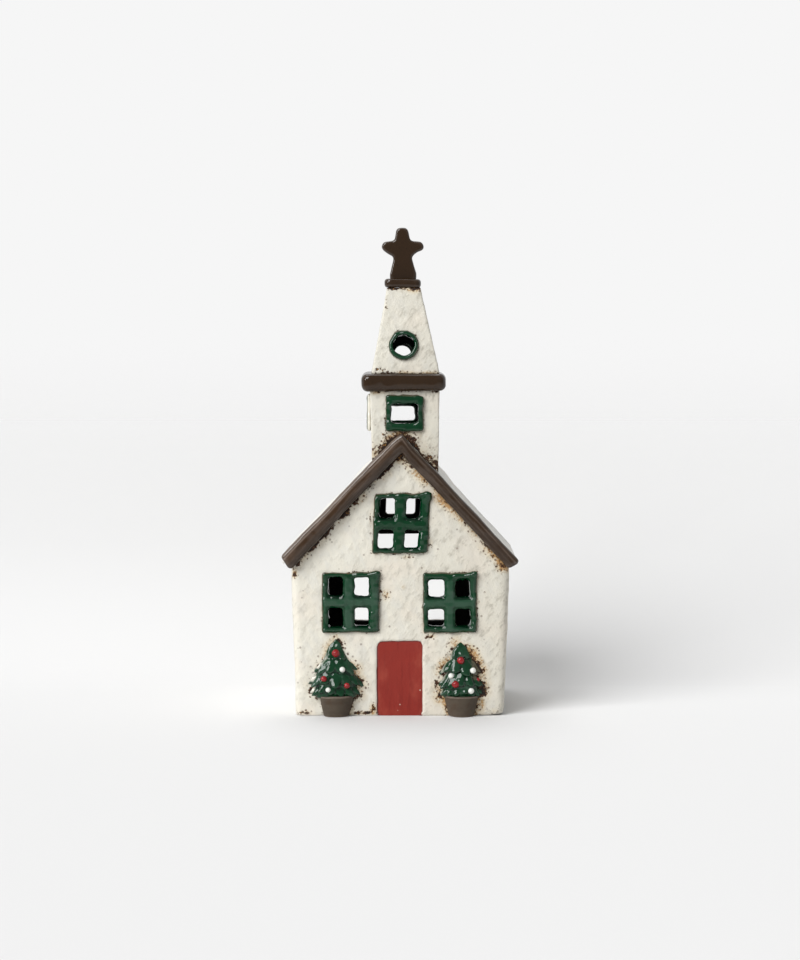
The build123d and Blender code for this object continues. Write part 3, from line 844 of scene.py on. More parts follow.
FRAME_SIDE, FRAME_RAIL = 3.6, 3.1
PANE_WIDTH, PANE_HEIGHT, GLAZING_BAR = 7.3, 8.8, 5.2
# How far the bars of a frame stand out in their middle, and how far its front spreads
FRAME_CROWN, FRAME_SPREAD = 0.6, 0.3
# Lump of glaze in a frame's top right corner: size, and its push along X, Y and Z
CORNER_LUMP, LUMP_PUSH = 2.6, (0.7, -0.8, 1.4)
# Height of the pool of glaze under a pane
POOL_HEIGHT = 2.2
# How much larger than drawn the door was pressed in, to each side and to the front
DOOR_FULLER, DOOR_FORWARD = 0.4, 0.6
# Shift of the tower's windows and of the spire's rings to the right
TOWER_WINDOWS = {"front": 0.8, "rear": 0.8, "left": 0.8}
SPIRE_RINGS = {"front": 0.4, "rear": -0.2}


class CutWindow(NamedTuple):
    """A four-pane window as the hand cut it, in millimetres."""

    upright: tuple   # upright edges from the left
    level: tuple     # level edges from the foot
    slant: float     # sideways lean for each millimetre up
    thin: float      # share of the flats that the glaze covers only thinly


CUT_WINDOWS = {
    "gable_window": CutWindow(
        (-12.7, -10.1, -2.8, 2.5, 9.4, 14.0), (78.8, 81.6, 90.4, 95.6, 104.8, 107.6), 0.055, 0.0),
    "left_window": CutWindow(
        (-37.5, -34.4, -27.2, -22.0, -15.0, -9.8), (40.6, 44.0, 52.7, 58.2, 66.6, 69.3), 0.0, 1.0),
    "right_window": CutWindow(
        (11.2, 13.6, 21.3, 26.6, 33.6, 36.8), (40.5, 44.2, 52.2, 57.5, 65.4, 69.3), 0.0, 0.85),
}


def drawn_edges(low, high, border, pane):
    """Places of a frame's and its panes' edges along one axis, as drawn."""
    return (low, low + border, low + border + pane, high - border - pane, high - border, high)


def pane_distances(points, upright, level):
    """Distances on a four-pane frame from its nearest and its outer edge, and pools of glaze."""
    x, _, z = points.T
    outer = np.minimum(
        np.minimum(x - upright[0], upright[-1] - x), np.minimum(z - level[0], level[-1] - z)
    )
    clear = outer
    pool = np.zeros(len(points))
    for left, right in (upright[1:3], upright[3:5]):
        for foot, top in (level[1:3], level[3:5]):
            aside = np.maximum(np.maximum(left - x, x - right), 0)
            above = np.maximum(np.maximum(foot - z, z - top), 0)
            clear = np.minimum(clear, np.hypot(aside, above))
            under = np.clip(1 - (foot - z) / POOL_HEIGHT, 0, 1) * (z < foot + 0.3)
            pool = np.maximum(pool, under * smooth_step(0.9, 0.0, aside))
    return clear, outer, pool


class VILLAGE_OT_windows(bpy.types.Operator):
    """Makes the green window frames and the round rings"""

    bl_idname = "village.windows"
    bl_label = "Windows"

    def execute(self, context):
        sizes = context.scene.village_sizes
        paint = context.scene.village_colours
        green = green_glaze(paint, "window_green", edge_share=0.75, wet=0.65)
        for seed, name in enumerate(CUT_WINDOWS):
            self.four_panes(sizes, green, name, seed)
        for seed, (side, aside) in enumerate(TOWER_WINDOWS.items(), start=5):
            name = f"tower_{side}_window"
            self.single_pane(sizes, green, name, f"{name}_frame", seed, aside)
        for seed, (side, aside) in enumerate(SPIRE_RINGS.items(), start=10):
            name, node = f"spire_{side}_ring", f"spire_{side}_window_ring"
            self.single_pane(sizes, green, name, node, seed, aside)
        return {"FINISHED"}

    def unevenness(self, clay, seed):
        """Leaves a frame as uneven as the hand did."""
        clay.wander(0.35, 5, seed).dent(0.3, 2.2, seed + 20).rub(1)

    def four_panes(self, sizes, green, name, seed):
        """A frame of four panes, with crowned bars and a lump in its top right corner."""
        node = f"{name}_frame"
        upright, level, slant, thin = CUT_WINDOWS[name]
        low, high = span(node)
        clay = Clay(name, [node], sizes.window_grain)
        clay.recut(X, drawn_edges(low[X], high[X], FRAME_SIDE, PANE_WIDTH), upright)
        clay.recut(Z, drawn_edges(low[Z], high[Z], FRAME_RAIL, PANE_HEIGHT), level)
        clear, outer, pool = pane_distances(clay.points, upright, level)
        x, y, z = clay.points.T
        middle = np.array(((upright[0] + upright[-1]) / 2, (level[0] + level[-1]) / 2))
        x += slant * (z - middle[1])
        proud = smooth_step(low[Y] + 2.6, low[Y] + 0.4, y)
        spread = np.tanh((clay.points[:, FACE] - middle) / 4)
        clay.points[:, FACE] += proud[:, None] * FRAME_SPREAD * spread
        clay.rub(7)
        crown = proud * smooth_step(0.2, 1.8, clear)
        y -= FRAME_CROWN * crown
        away = clay.points[:, FACE] - (upright[-1] - 1.6, level[-1] - 1.2)
        lump = proud * np.exp(-(away ** 2).sum(axis=1) / CORNER_LUMP ** 2)
        clay.points += lump[:, None] * LUMP_PUSH
        self.unevenness(clay, seed)
        clay.mark_edges(0.7, pool).mark("rim", smooth_step(1.1, 0.3, outer))
        crossing = ((upright[2] + upright[3]) / 2, (level[2] + level[3]) / 2)
        from_bars = np.abs((clay.points[:, FACE] - crossing) / GLAZING_BAR).min(axis=1)
        middle_bars = smooth_step(1.1, 0.5, from_bars)
        top_rail = smooth_step(level[-2] - 0.3, level[-2] + 0.6, z)
        flats = thin * smooth_step(0.4, 1.5, clear) * (0.45 + 0.55 * middle_bars)
        clay.mark("thin", flats * (1 - 0.8 * top_rail))
        clay.fire(green, "green_glaze")

    def single_pane(self, sizes, green, name, node, seed, aside):
        """A square frame or a ring, with its bars crowned on the side that faces out."""
        low, high = span(node)
        middle, half = (low + high) / 2, (high - low) / 2
        through = X if "left" in node else Y
        out = 1 if "rear" in node else -1
        clay = Clay(name, [node], sizes.window_grain)
        away = np.delete(np.abs(clay.points - middle) / half, through, axis=1)
        reach = np.hypot(*away.T) if "ring" in node else away.max(axis=1)
        share = np.clip((reach - reach.min()) / (1 - reach.min()), 0, 1)
        clay.rub(5)
        facing = np.clip(out * clay.normals()[:, through], 0, 1)
        clay.points[:, through] += out * FRAME_CROWN * facing * 4 * share * (1 - share)
        self.unevenness(clay, seed)
        clay.lean(aside, aside).mark_edges(0.7).mark("rim", smooth_step(0.75, 0.95, share))
        # Painted reflection: the left frame, seen edge on, is laid white except for its outer face,
        # as its gloss gleams in the light from the left
        if through == X:
            x = clay.points[:, X]
            clay.mark("white", smooth_step(x.min() + 0.4, x.min() + 0.9, x))
        clay.fire(green, "green_glaze")


class VILLAGE_OT_door(bpy.types.Operator):
    """Makes the red door tile"""

    bl_idname = "village.door"
    bl_label = "Door"

    def execute(self, context):
        clay = Clay("door", ["door_tile"], context.scene.village_sizes.window_grain)
        low, high = span("door_tile")
        middle, half = (low + high) / 2, (high - low) / 2
        away = (clay.points - middle)[:, FACE]
        clay.points[:, FACE] = middle[FACE] + away * (1 + DOOR_FULLER / half[FACE])
        y = clay.points[:, Y]
        y -= DOOR_FORWARD * smooth_step(high[Y], low[Y] + 0.3, y)
        clay.rub(6, keep=0.6).dent(0.15, 5, 3).mark_edges(1.6)
        clay.fire(red_glaze(context.scene.village_colours), "red_glaze")
        return {"FINISHED"}


# Trees

RING_POINTS = 112
# Depth of a tree behind the wall's face, as a share of its depth in front
BEHIND = 0.18
# How far the lobes of a hem draw in and droop, as shares of the tree's half width and height
LOBE_DEPTH, LOBE_DROOP = 0.30, 0.10
# Outline of a tier: share of the way down, share of the reach, and how far the lobes show
SKIRT = (
    (0.0, 0.06, 0.0), (0.15, 0.30, 0.1), (0.35, 0.58, 0.3), (0.55, 0.76, 0.6), (0.75, 0.91, 0.9),
    (0.90, 0.99, 1.0), (1.0, 1.0, 1.0), (1.02, 0.93, 0.9), (0.95, 0.78, 0.6), (0.85, 0.5, 0.3),
)
# Body under the boughs: shares of the tree's height and of its half width
BODY = (
    (-0.03, 0.70), (0.05, 0.74), (0.20, 0.72), (0.33, 0.66), (0.40, 0.58), (0.55, 0.46),
    (0.65, 0.34), (0.80, 0.20), (0.93, 0.09), (1.0, 0.03),
)
# Shift of both trees against the drawn ones
TREE_SHIFT = -0.4
BAUBLE_COLUMNS, BAUBLE_ROWS, BAUBLE_LUMPS = 20, 12, 0.07


class TreeLook(NamedTuple):
    """What one of the trees has of its own."""

    tiers: tuple       # from the foot: hem, top, reach of the hem, number of lobes round the front
    baubles: dict      # by colour: places across and up from the middle of the foot, and radius
    fuller: float      # how much wider than drawn it was pressed on, to each side
    bare: float        # how far its right side is bare of green
    white_rim: float   # how far white lies over its left rim, next to the wall


TREES = {
    "left": TreeLook(
        tiers=(
            (0.05, 0.36, 0.95, 7), (0.22, 0.55, 0.99, 6),
            (0.45, 0.74, 0.78, 5), (0.64, 1.00, 0.42, 4),
        ),
        baubles={
            "red": ((0.1, 20.7, 1.9), (-5.6, 8.7, 1.45), (5.5, 5.5, 1.4)),
            "white": ((3.3, 13.1, 1.35), (-3.5, 3.3, 1.25)),
        },
        fuller=1.4, bare=0.45, white_rim=0.9,
    ),
    "right": TreeLook(
        tiers=(
            (0.05, 0.36, 0.88, 7), (0.20, 0.55, 0.94, 6),
            (0.45, 0.78, 0.86, 5), (0.70, 1.00, 0.46, 4),
        ),
        baubles={
            "red": ((0.0, 17.3, 1.8), (-2.5, 6.0, 1.75), (8.2, 7.7, 1.05)),
            "white": ((5.9, 12.5, 1.45), (-4.6, 9.9, 1.35), (5.0, 2.7, 1.45)),
        },
        fuller=0.3, bare=1.0, white_rim=0.4,
    ),
}


class TreeSize(NamedTuple):
    """Where a tree stands on the wall, and its size, in millimetres."""

    middle: float
    wall: float
    foot: float
    tall: float
    half: float
    relief: float

    def ring(self, wide, up):
        """A ring round the tree, at shares of its half width and its height."""
        around = circle(RING_POINTS)
        deep = np.where(np.sin(around) > 0, self.relief, self.relief * BEHIND)
        return ring_points(
            self.middle + self.half * wide * np.cos(around),
            self.wall - deep * wide * np.sin(around),
            self.foot + self.tall * up,
        )

    def skirt(self, tier, hand):
        """Rings of a tier: a cone down to a hem of drooping lobes, and back in under the hem."""
        hem, top, reach, count = tier
        place = circle(RING_POINTS) / math.pi * count + 0.5
        which = np.floor(place).astype(int)
        girth = hand.uniform(0.8, 1.1, which.max() + 1)[which]
        droop = hand.uniform(0.4, 1.3, which.max() + 1)[which]
        lobe = np.sin(math.pi * (place - which)) ** 0.7
        rings = []
        for down, out, shown in SKIRT:
            wide = reach * out * (1 - LOBE_DEPTH * shown * (1 - lobe * girth))
            up = top + (hem - top) * down + LOBE_DROOP * shown * (0.5 - lobe * droop)
            rings.append(self.ring(wide, np.clip(up, 0, 1)))
        return rings


def bead_rings(centre, radius, seed):
    """Rings of one bead, a little lumpy."""
    rings = []
    around = circle(BAUBLE_COLUMNS)
    for tilt in np.linspace(-0.49 * math.pi, 0.49 * math.pi, BAUBLE_ROWS):
        wide = radius * math.cos(tilt)
        ring = ring_points(wide * np.cos(around), wide * np.sin(around), radius * math.sin(tilt))
        uneven = 1 + BAUBLE_LUMPS * lumps(ring + seed * 10, 1.6, seed)
        rings.append(ring * uneven[:, None] + centre)
    return rings


class VILLAGE_OT_trees(bpy.types.Operator):
    """Makes the two fir trees with their pots and baubles"""

    bl_idname = "village.trees"
    bl_label = "Trees"

    def execute(self, context):
        sizes = context.scene.village_sizes
        paint = context.scene.village_colours
        green = green_glaze(paint, "tree_green", edge_share=0.2, wet=0.85)
        beads = {shade: cloudy_finish(paint, f"bauble_{shade}") for shade in ("red", "white")}
        pot = pot_glaze(paint)
        wall = span("front_wall")[0][Y]
        for seed, (side, look) in enumerate(TREES.items()):
            low, high = span(f"{side}_tree")
            size = TreeSize(
                middle=(low[X] + high[X]) / 2 + TREE_SHIFT,
                wall=wall,
                foot=low[Z],
                tall=high[Z] - low[Z],
                half=(high[X] - low[X]) / 2 + look.fuller,
                relief=wall - low[Y],
            )
            self.fir(sizes, green, side, size, seed)
            self.hang_baubles(side, size, beads)
            clay = Clay(f"{side}_flowerpot", [f"{side}_pot"], sizes.tree_grain)
            clay.rub(6).wander(0.25, 7, seed + 80).dent(0.1, 2.5, seed + 90).mark_edges(1.2)
            clay.fire(pot, "pot_glaze")
        return {"FINISHED"}

    def fir(self, sizes, green, side, size, seed):
        """A tree of tiers over a body, bare at its right and white along its left rim."""
        look = TREES[side]
        hand = np.random.default_rng(seed + 3)
        skins = [[size.ring(wide, up) for up, wide in BODY]]
        skins += [size.skirt(tier, hand) for tier in look.tiers]
        clay = Clay(f"{side}_fir", [f"{side}_tree"], sizes.tree_grain, skins)
        # Hollows are marked over a wide radius, so that the green darkens them as painted shade
        # under the hems, besides pooled glaze
        clay.rub(2).dent(0.35, 2.0, seed + 70).rub(2).mark_edges(1.6)
        x, y, z = clay.points.T
        aside = (x - size.middle) / size.half
        up = (z - size.foot) / size.tall
        clay.mark("bare", look.bare * smooth_step(0.2, 0.65, aside) * smooth_step(0.2, 0.4, up))
        by_wall = smooth_step(1.8, 0.6, size.wall - y) * smooth_step(-0.1, -0.4, aside)
        patchy = smooth_step(-0.2, 0.3, lumps(clay.points, 3, seed + 77))
        clay.mark("white", look.white_rim * by_wall * patchy)
        clay.mark("thin", 0.35 + 0.5 * lumps(clay.points, 4, seed + 75))
        clay.fire(green, "green_glaze")

    def hang_baubles(self, side, size, beads):
        """Sets each bauble half into the tree's front."""
        tree = bpy.data.objects[f"{side}_fir"]
        skin = BVHTree.FromObject(tree, bpy.context.evaluated_depsgraph_get())
        forward = CAD_BOX[0].y - 0.01
        for shade, places in TREES[side].baubles.items():
            skins = []
            for seed, (across, up, radius) in enumerate(places, start=1):
                start = Vector(((size.middle + across) * MM, forward, (size.foot + up) * MM))
                hit = skin.ray_cast(start, Vector((0, 1, 0)))[0]
                if hit is None:
                    hit = skin.find_nearest(Vector((start.x, size.wall * MM - 2 * MM, start.z)))[0]
                centre = np.array(hit) / MM
                centre[Y] -= 0.1 * radius
                skins.append(bead_rings(centre, radius, seed))
            clay = Clay(f"{side}_{shade}_beads", [f"{side}_tree_{shade}_baubles"], 0, skins)
            clay.fire(beads[shade], f"{shade}_glaze")


# White shell

WALL, TOWER_WALL, SPIRE_WALL, ROOF_SLAB = 5.0, 4.5, 4.0, 5.0
# The rear wall's bar between its two openings: how far it lies under the middle of the gable
# window, and how much lower than drawn
REAR_BAR_DROP, REAR_BAR_LOWER = 6.0, 1.5
# How far the walls' foot was trimmed off level, from the left corner over places to the right one
FOOT_PLACES, FOOT_LIFTS = (-40, -25, 25, 40), (0.5, 0.1, 0, 0, 0.4, 1.5)
# How much lower than drawn the roof lies beside the tower
ROOF_LOWER = 1.2
# Lean of the tower's and the spire's top
TOWER_LEAN, SPIRE_LEAN = 0.8, 0.3
# Painted shade of the white: its level on the sides and the back, and at the left of the tower's and
# the spire's front, from where it darkens towards the right
SIDE_PAINTED_SHADE, TOWER_PAINTED_SHADE, SPIRE_PAINTED_SHADE = 0.2, 0.25, 0.4
# Rust beside pieces: reach, rust on their left and right sides, stain on their left and right
WALL_RUST = {
    "bargeboards": (6.5, 1.1, 0.66, 0.8, 1.15),
    "gable_window": (2.6, 0.55, 0.65, 0.5, 0.4),
    "left_window": (2.6, 0.50, 0.70, 0.45, 0.5),
    "right_window": (2.6, 0.55, 0.70, 0.5, 0.5),
    "left_fir": (6.0, 0.70, 0.90, 0.7, 1.0),
    "right_fir": (7.5, 0.85, 1.1, 1.1, 1.1),
    "left_flowerpot": (3.2, 0.45, 0.85, 0.5, 0.9),
    "right_flowerpot": (5.0, 0.60, 0.60, 1.1, 1.2),
    "door": (1.4, 0.35, 0.35, 0.3, 0.3),
}
ROOF_RUST = {"bargeboards": (2.5, 0.7, 0.7, 0.3, 0.3)}
TOWER_RUST = {
    "roof": (9.0, 1.25, 1.15, 0.8, 0.7),
    "bargeboards": (15.0, 1.3, 1.25, 1.05, 1.05),
    "belt": (3.0, 0.75, 0.6, 0.7, 0.5),
    **{f"tower_{side}_window": (2.2, 0.65, 0.45, 0.4, 0.3) for side in TOWER_WINDOWS},
}
SPIRE_RUST = {
    "belt": (2.8, 0.8, 0.9, 0.7, 0.8),
    "collar": (5.0, 1.0, 1.35, 0.7, 1.1),
    **{f"spire_{side}_ring": (2.0, 0.6, 0.5, 0.35, 0.3) for side in SPIRE_RINGS},
}
# Splashes on the front: place across and up, half width and height, rust and stain
WALL_SPLASHES = (
    (-6.9, 58.6, 2.8, 3.8, 0.45, 0.75),
    (1.6, 62.4, 1.6, 1.6, 0.40, 0.5),
    (-17.5, 1.4, 7.5, 1.3, 0.70, 0.9),
    (-13.0, 3.0, 1.9, 3.4, 0.60, 1.1),
    (-46.0, 1.6, 5.0, 1.4, 0.65, 0.7),
    (-51.0, 69.0, 2.0, 3.0, 0.80, 1.1),
    (39.5, 6.0, 2.2, 6.0, 0.35, 0.8),
    (14.5, 38.6, 3.4, 1.5, 0.70, 0.8),
    (3.5, 77.0, 3.8, 1.3, 0.70, 0.7),
    (14.8, 83.5, 1.5, 3.0, 0.75, 0.5),
    (-14.2, 96.5, 1.1, 5.0, 0.50, 0.5),
    (49.5, 72.5, 3.6, 3.2, 0.70, 1.2),
    (46.0, 2.4, 3.4, 1.6, 0.70, 0.5),
    (0.0, 124.0, 7.0, 3.0, 0.45, 0.9),
    (27.0, 37.0, 1.0, 1.0, 0.60, 0.4),
    (41.0, 60.0, 0.9, 1.3, 0.60, 0.4),
)
SPIRE_SPLASHES = (
    (-6.5, 196.5, 1.0, 2.4, 0.60, 0.5),
    (-9.5, 167.0, 4.0, 1.0, 0.55, 0.4),
    (16.0, 178.0, 1.2, 1.6, 0.5, 0.4),
)


def unglazed_shaded_inside(depth, wall):
    """Mark of the unglazed inside, which the glaze paints near black as shade, from the depth behind
    the outer faces.
    """
    return smooth_step(0.55 * wall, 0.85 * wall, depth)


def depth_inside(drawn, low, high, side_wall, centre=0.0):
    """Depth of drawn points behind the outer faces of four walls, of which the sides lean."""
    corners = node_points(side_wall)
    outer = np.abs(corners[:, X] - centre)
    foot, top = corners[:, Z].min(), corners[:, Z].max()
    at_foot = outer[corners[:, Z] < foot + 0.1].max()
    at_top = outer[corners[:, Z] > top - 0.1].max()
    x, y, z = drawn.T
    across = np.interp(z, (foot, top), (at_foot, at_top)) - np.abs(x - centre)
    return np.minimum(np.minimum(y - low[Y], high[Y] - y), across)


class VILLAGE_OT_shell(bpy.types.Operator):
    """Makes the white walls, the roof, the tower and the spire"""

    bl_idname = "village.shell"
    bl_label = "White shell"

    def execute(self, context):
        sizes = context.scene.village_sizes
        paint = context.scene.village_colours
        white = white_glaze(paint, "white_glaze", paint.cream, paint.cream_shade)
        self.walls(sizes, white)
        self.roof(sizes, white_glaze(paint, "roof_white", paint.roof, paint.roof_shade))
        self.tower(sizes, white)
        self.spire(sizes, white)
        return {"FINISHED"}

    def join(self, name, nodes, grain, rounds):
        """Slabs luted to one shell: the clay, its points as drawn, and their corners."""
        clay = Clay(name, nodes, grain).rub(rounds, keep=1)
        return clay, clay.points.copy(), *span(*nodes)

    def plaster(self, clay, sizes, seed, reach, across):
        """Brushed texture on the clay, and a slow drift of its faces."""
        deep = sizes.plaster / MM
        clay.dent(0.55 * deep, 7, seed).dent(0.6 * deep, 2.8, seed + 1)
        clay.wander(reach, across, seed + 4)

    def glaze_marks(self, clay, beside, splashes=(), grey=0.0):
        """Marks rust and stain, and painted shade: the front darkens from left to right, and the
        other faces keep one level.
        """
        x, _, z = clay.points.T
        rust, stain = np.zeros(len(x)), np.zeros(len(x))
        front = smooth_step(0.3, 0.7, -clay.normals()[:, Y])
        rust_lumps = np.clip(0.85 + 0.5 * lumps(clay.points, 5, 150), 0.3, 1.2)
        stain_lumps = np.clip(0.8 + 0.55 * lumps(clay.points, 6, 151), 0.1, 1.2)
        for name, (reach, rust_left, rust_right, stain_left, stain_right) in beside.items():
            piece = bpy.data.objects[name]
            ends = [corner[X] / MM for corner in piece.bound_box]
            side = smooth_step(-4, 4, x - (min(ends) + max(ends)) / 2)
            near = nearness(clay.points, piece, reach)
            brown = between(rust_left, rust_right, side) * np.clip(2 * near - 1, 0, 1)
            rust = np.maximum(rust, brown * rust_lumps)
            stain = np.maximum(stain, between(stain_left, stain_right, side) * near * stain_lumps)
        for across, up, wide, tall, brown, ochre in splashes:
            share = np.exp(-(((x - across) / wide) ** 2 + ((z - up) / tall) ** 2)) * front
            rust = np.maximum(rust, brown * share)
            stain = np.maximum(stain, ochre * share)
        # Painted shade: the front darkens from `grey` at its left to full at its right, as the light
        # falls off across the house; other faces keep the sides' level
        low, high = x.min(), x.max()
        rising = between(grey, 1, smooth_step(low + 0.2 * (high - low), high, x))
        clay.mark("rust", rust).mark("stain", stain)
        clay.mark("shade", between(SIDE_PAINTED_SHADE, rising, front))

    def walls(self, sizes, white):
        """The four house walls, with red glaze in the door's recess."""
        nodes = ["front_wall", "rear_wall", "left_wall", "right_wall"]
        clay, drawn, low, high = self.join("house_walls", nodes, sizes.wall_grain, 3)
        x, _, z = clay.points.T
        drawn_x, drawn_y, drawn_z = drawn.T
        x += np.interp(z, (span("left_wall")[1][Z], high[Z]), (0, APEX_LEAN))
        z += smooth_step(9, 0, z) * np.interp(x, (low[X], *FOOT_PLACES, high[X]), FOOT_LIFTS)
        frame_low, frame_high = span("gable_window_frame")
        bar = (frame_low[Z] + frame_high[Z]) / 2 - REAR_BAR_DROP
        rear = drawn_y > high[Y] - 2 * WALL
        z -= REAR_BAR_LOWER * (smooth_step(14, 8, np.abs(drawn_z - bar)) * rear)
        self.plaster(clay, sizes, seed=100, reach=0.3, across=30)
        depth = depth_inside(drawn, low, high, "left_wall")
        clay.mark("inside", unglazed_shaded_inside(depth, WALL))
        door = span("door_tile")[1] + 0.6
        within = (np.abs(drawn_x) < door[X]) & (drawn_z < door[Z])
        recess = (drawn_y > low[Y] + 0.5) & (drawn_y < low[Y] + 0.8 * WALL)
        clay.mark("door", within & recess & (depth < 0.8 * WALL))
        self.glaze_marks(clay, WALL_RUST, WALL_SPLASHES)
        clay.fire(white, "white_glaze")

    def roof(self, sizes, white):
        """Both roof slabs."""
        nodes = ["left_roof_slab", "right_roof_slab"]
        clay, drawn, low, high = self.join("roof", nodes, sizes.wall_grain, 4)
        x, _, z = clay.points.T
        aside = np.abs(drawn[:, X])
        below = below_roof(drawn, high[Z])
        wall = span("front_wall", "rear_wall")[1]
        over = (aside < wall[X] - WALL) & (drawn[:, Y] < wall[Y] - 1)
        clay.mark("inside", unglazed_shaded_inside(below, ROOF_SLAB) * over)
        x += np.interp(drawn[:, Z], (low[Z], high[Z]), (0, APEX_LEAN))
        tower_half = span("tower_belt")[1][X]
        beyond = smooth_step(tower_half, tower_half + 6, aside)
        z -= ROOF_LOWER * beyond * smooth_step(2.5, 0.5, below)
        self.plaster(clay, sizes, seed=110, reach=sizes.waviness / MM, across=24)
        self.glaze_marks(clay, ROOF_RUST)
        clay.fire(white, "white_glaze")

    def tower(self, sizes, white):
        """The four tower walls."""
        nodes = [f"tower_{side}_wall" for side in ("front", "rear", "left", "right")]
        clay, drawn, low, high = self.join("tower", nodes, sizes.tower_grain, 4)
        belt_low, belt_high = span("tower_belt")
        centre = (belt_low[X] + belt_high[X]) / 2
        depth = depth_inside(drawn, low, high, "tower_left_wall", centre)
        clay.mark("inside", unglazed_shaded_inside(depth, TOWER_WALL)).lean(APEX_LEAN, TOWER_LEAN)
        self.plaster(clay, sizes, seed=120, reach=0.25, across=20)
        self.glaze_marks(clay, TOWER_RUST, grey=TOWER_PAINTED_SHADE)
        clay.fire(white, "white_glaze")

    def spire(self, sizes, white):
        """The four spire walls."""
        nodes = [f"spire_{side}_wall" for side in ("front", "rear", "left", "right")]
        clay, drawn, low, high = self.join("spire", nodes, sizes.tower_grain, 4)
        centre = (low + high) / 2
        collar_low, collar_high = span("spire_collar")
        collar_half = (collar_high[X] - collar_low[X]) / 2 - 0.85
        half = np.interp(drawn[:, Z], (low[Z], high[Z]), (high[X] - centre[X], collar_half))
        across = np.abs(drawn[:, :Z] - centre[:Z]).max(axis=1)
        clay.mark("inside", unglazed_shaded_inside(half - across, SPIRE_WALL)).lean(APEX_LEAN, SPIRE_LEAN)
        self.plaster(clay, sizes, seed=130, reach=0.3, across=18)
        self.glaze_marks(clay, SPIRE_RUST, SPIRE_SPLASHES, SPIRE_PAINTED_SHADE)
        clay.fire(white, "white_glaze")


# Tealight

TURN_POINTS, FLUTES, WICK_RINGS = 144, 36, 40


def turned_ring(radius, height, flute=0.0):
    """One ring of a turned piece on the middle axis, fluted that deep."""
    around = circle(TURN_POINTS)
    wide = radius + flute * np.cos(FLUTES * around)
    return ring_points(wide * np.cos(around), wide * np.sin(around), height)


class VILLAGE_OT_tealight(bpy.types.Operator):
    """Makes the tealight that stands inside the house"""

    bl_idname = "village.tealight"
    bl_label = "Tealight"

    def execute(self, context):
        paint = context.scene.village_colours
        lip, _, top = span("tealight_cup")[1]
        side = lip - 0.7
        inner = side - 0.35
        cup = (
            (side - 2.2, 0.02), (side - 0.7, 0.05), (side - 0.15, 0.45), (side - 0.1, 1.4, 0.08),
            (side - 0.1, 7.0, 0.1), (side - 0.1, top - 1.6, 0.08), (side, top - 0.8),
            (lip - 0.15, top - 0.55), (lip - 0.02, top - 0.25), (lip - 0.25, top - 0.03),
            (side - 0.1, top - 0.1), (inner, top - 0.7), (inner - 0.05, 7.0),
            (inner - 0.05, 1.0), (inner - 0.8, 0.5), (1.0, 0.5),
        )
        self.turn(paint, "tealight_tin", cup, "pressed_aluminium", "aluminium", "tealight_cup")
        (_, _, foot), (_, _, top) = span("tealight_wax")
        wax = (
            (inner - 1.0, foot), (inner - 0.15, foot + 0.6), (inner - 0.12, top - 0.1),
            (inner - 0.5, top - 0.02), (inner - 2.2, top - 0.55), (inner - 8.0, top - 0.8),
            (3.2, top - 0.7), (1.5, top - 0.2), (0.9, top - 0.05), (0.3, top - 0.05),
        )
        self.turn(paint, "tealight_fill", wax, "poured_wax", "wax", "tealight_wax")
        (_, _, foot), (thick, _, top) = span("tealight_wick")
        heights = np.linspace(foot, top, WICK_RINGS)
        wick = [(thick * (0.86 + 0.12 * math.sin(2.6 * z)), z) for z in heights] + [(0.25, top)]
        self.turn(paint, "braided_wick", wick, "braided_cotton", "cotton", "tealight_wick")
        (_, _, foot), (plate, _, top) = span("wick_clip")
        clip = (
            (plate - 0.2, foot), (plate, foot + 0.15), (plate - 0.15, foot + 0.4),
            (2.4, foot + 0.45), (1.75, foot + 0.9), (1.65, top - 0.15), (1.45, top),
            (0.85, top - 0.05), (0.8, foot + 0.5),
        )
        self.turn(paint, "steel_clip", clip, "stamped_steel", "steel", "wick_clip")
        return {"FINISHED"}

    def turn(self, paint, name, profile, finish, slot, node):
        """One turned piece in place of its node. The profile gives the rings in order."""
        clay = Clay(name, [node], 0, [[turned_ring(*row) for row in profile]])
        clay.fire(cloudy_finish(paint, finish), slot, TEALIGHT)


# Studio, in metres

SENSOR_HEIGHT = 36
# The flat paper's front and back end, half the papers' width, and how far the sweep turns up
PAPER_FRONT, PAPER_BACK, PAPER_HALF, SWEEP_TURN = -3.0, 0.6, 2.0, 84
# Where a paper fades into the backdrop with the distance from the house
FADE_AWAY = (0.55, 1.5)
# Fades along one axis of a paper: the axis, the fade in the middle, and the earlier fade at the
# sides with the distance aside where it sets in. The floor's start where the sweep does.
FADES = {
    "floor": ("Y", (0.03, 0.25), (0.0, 0.05), (0.10, 0.24)),
    "sweep": ("Z", (0.05, 0.18), (0.0, 0.02), (0.24, 0.42)),
}


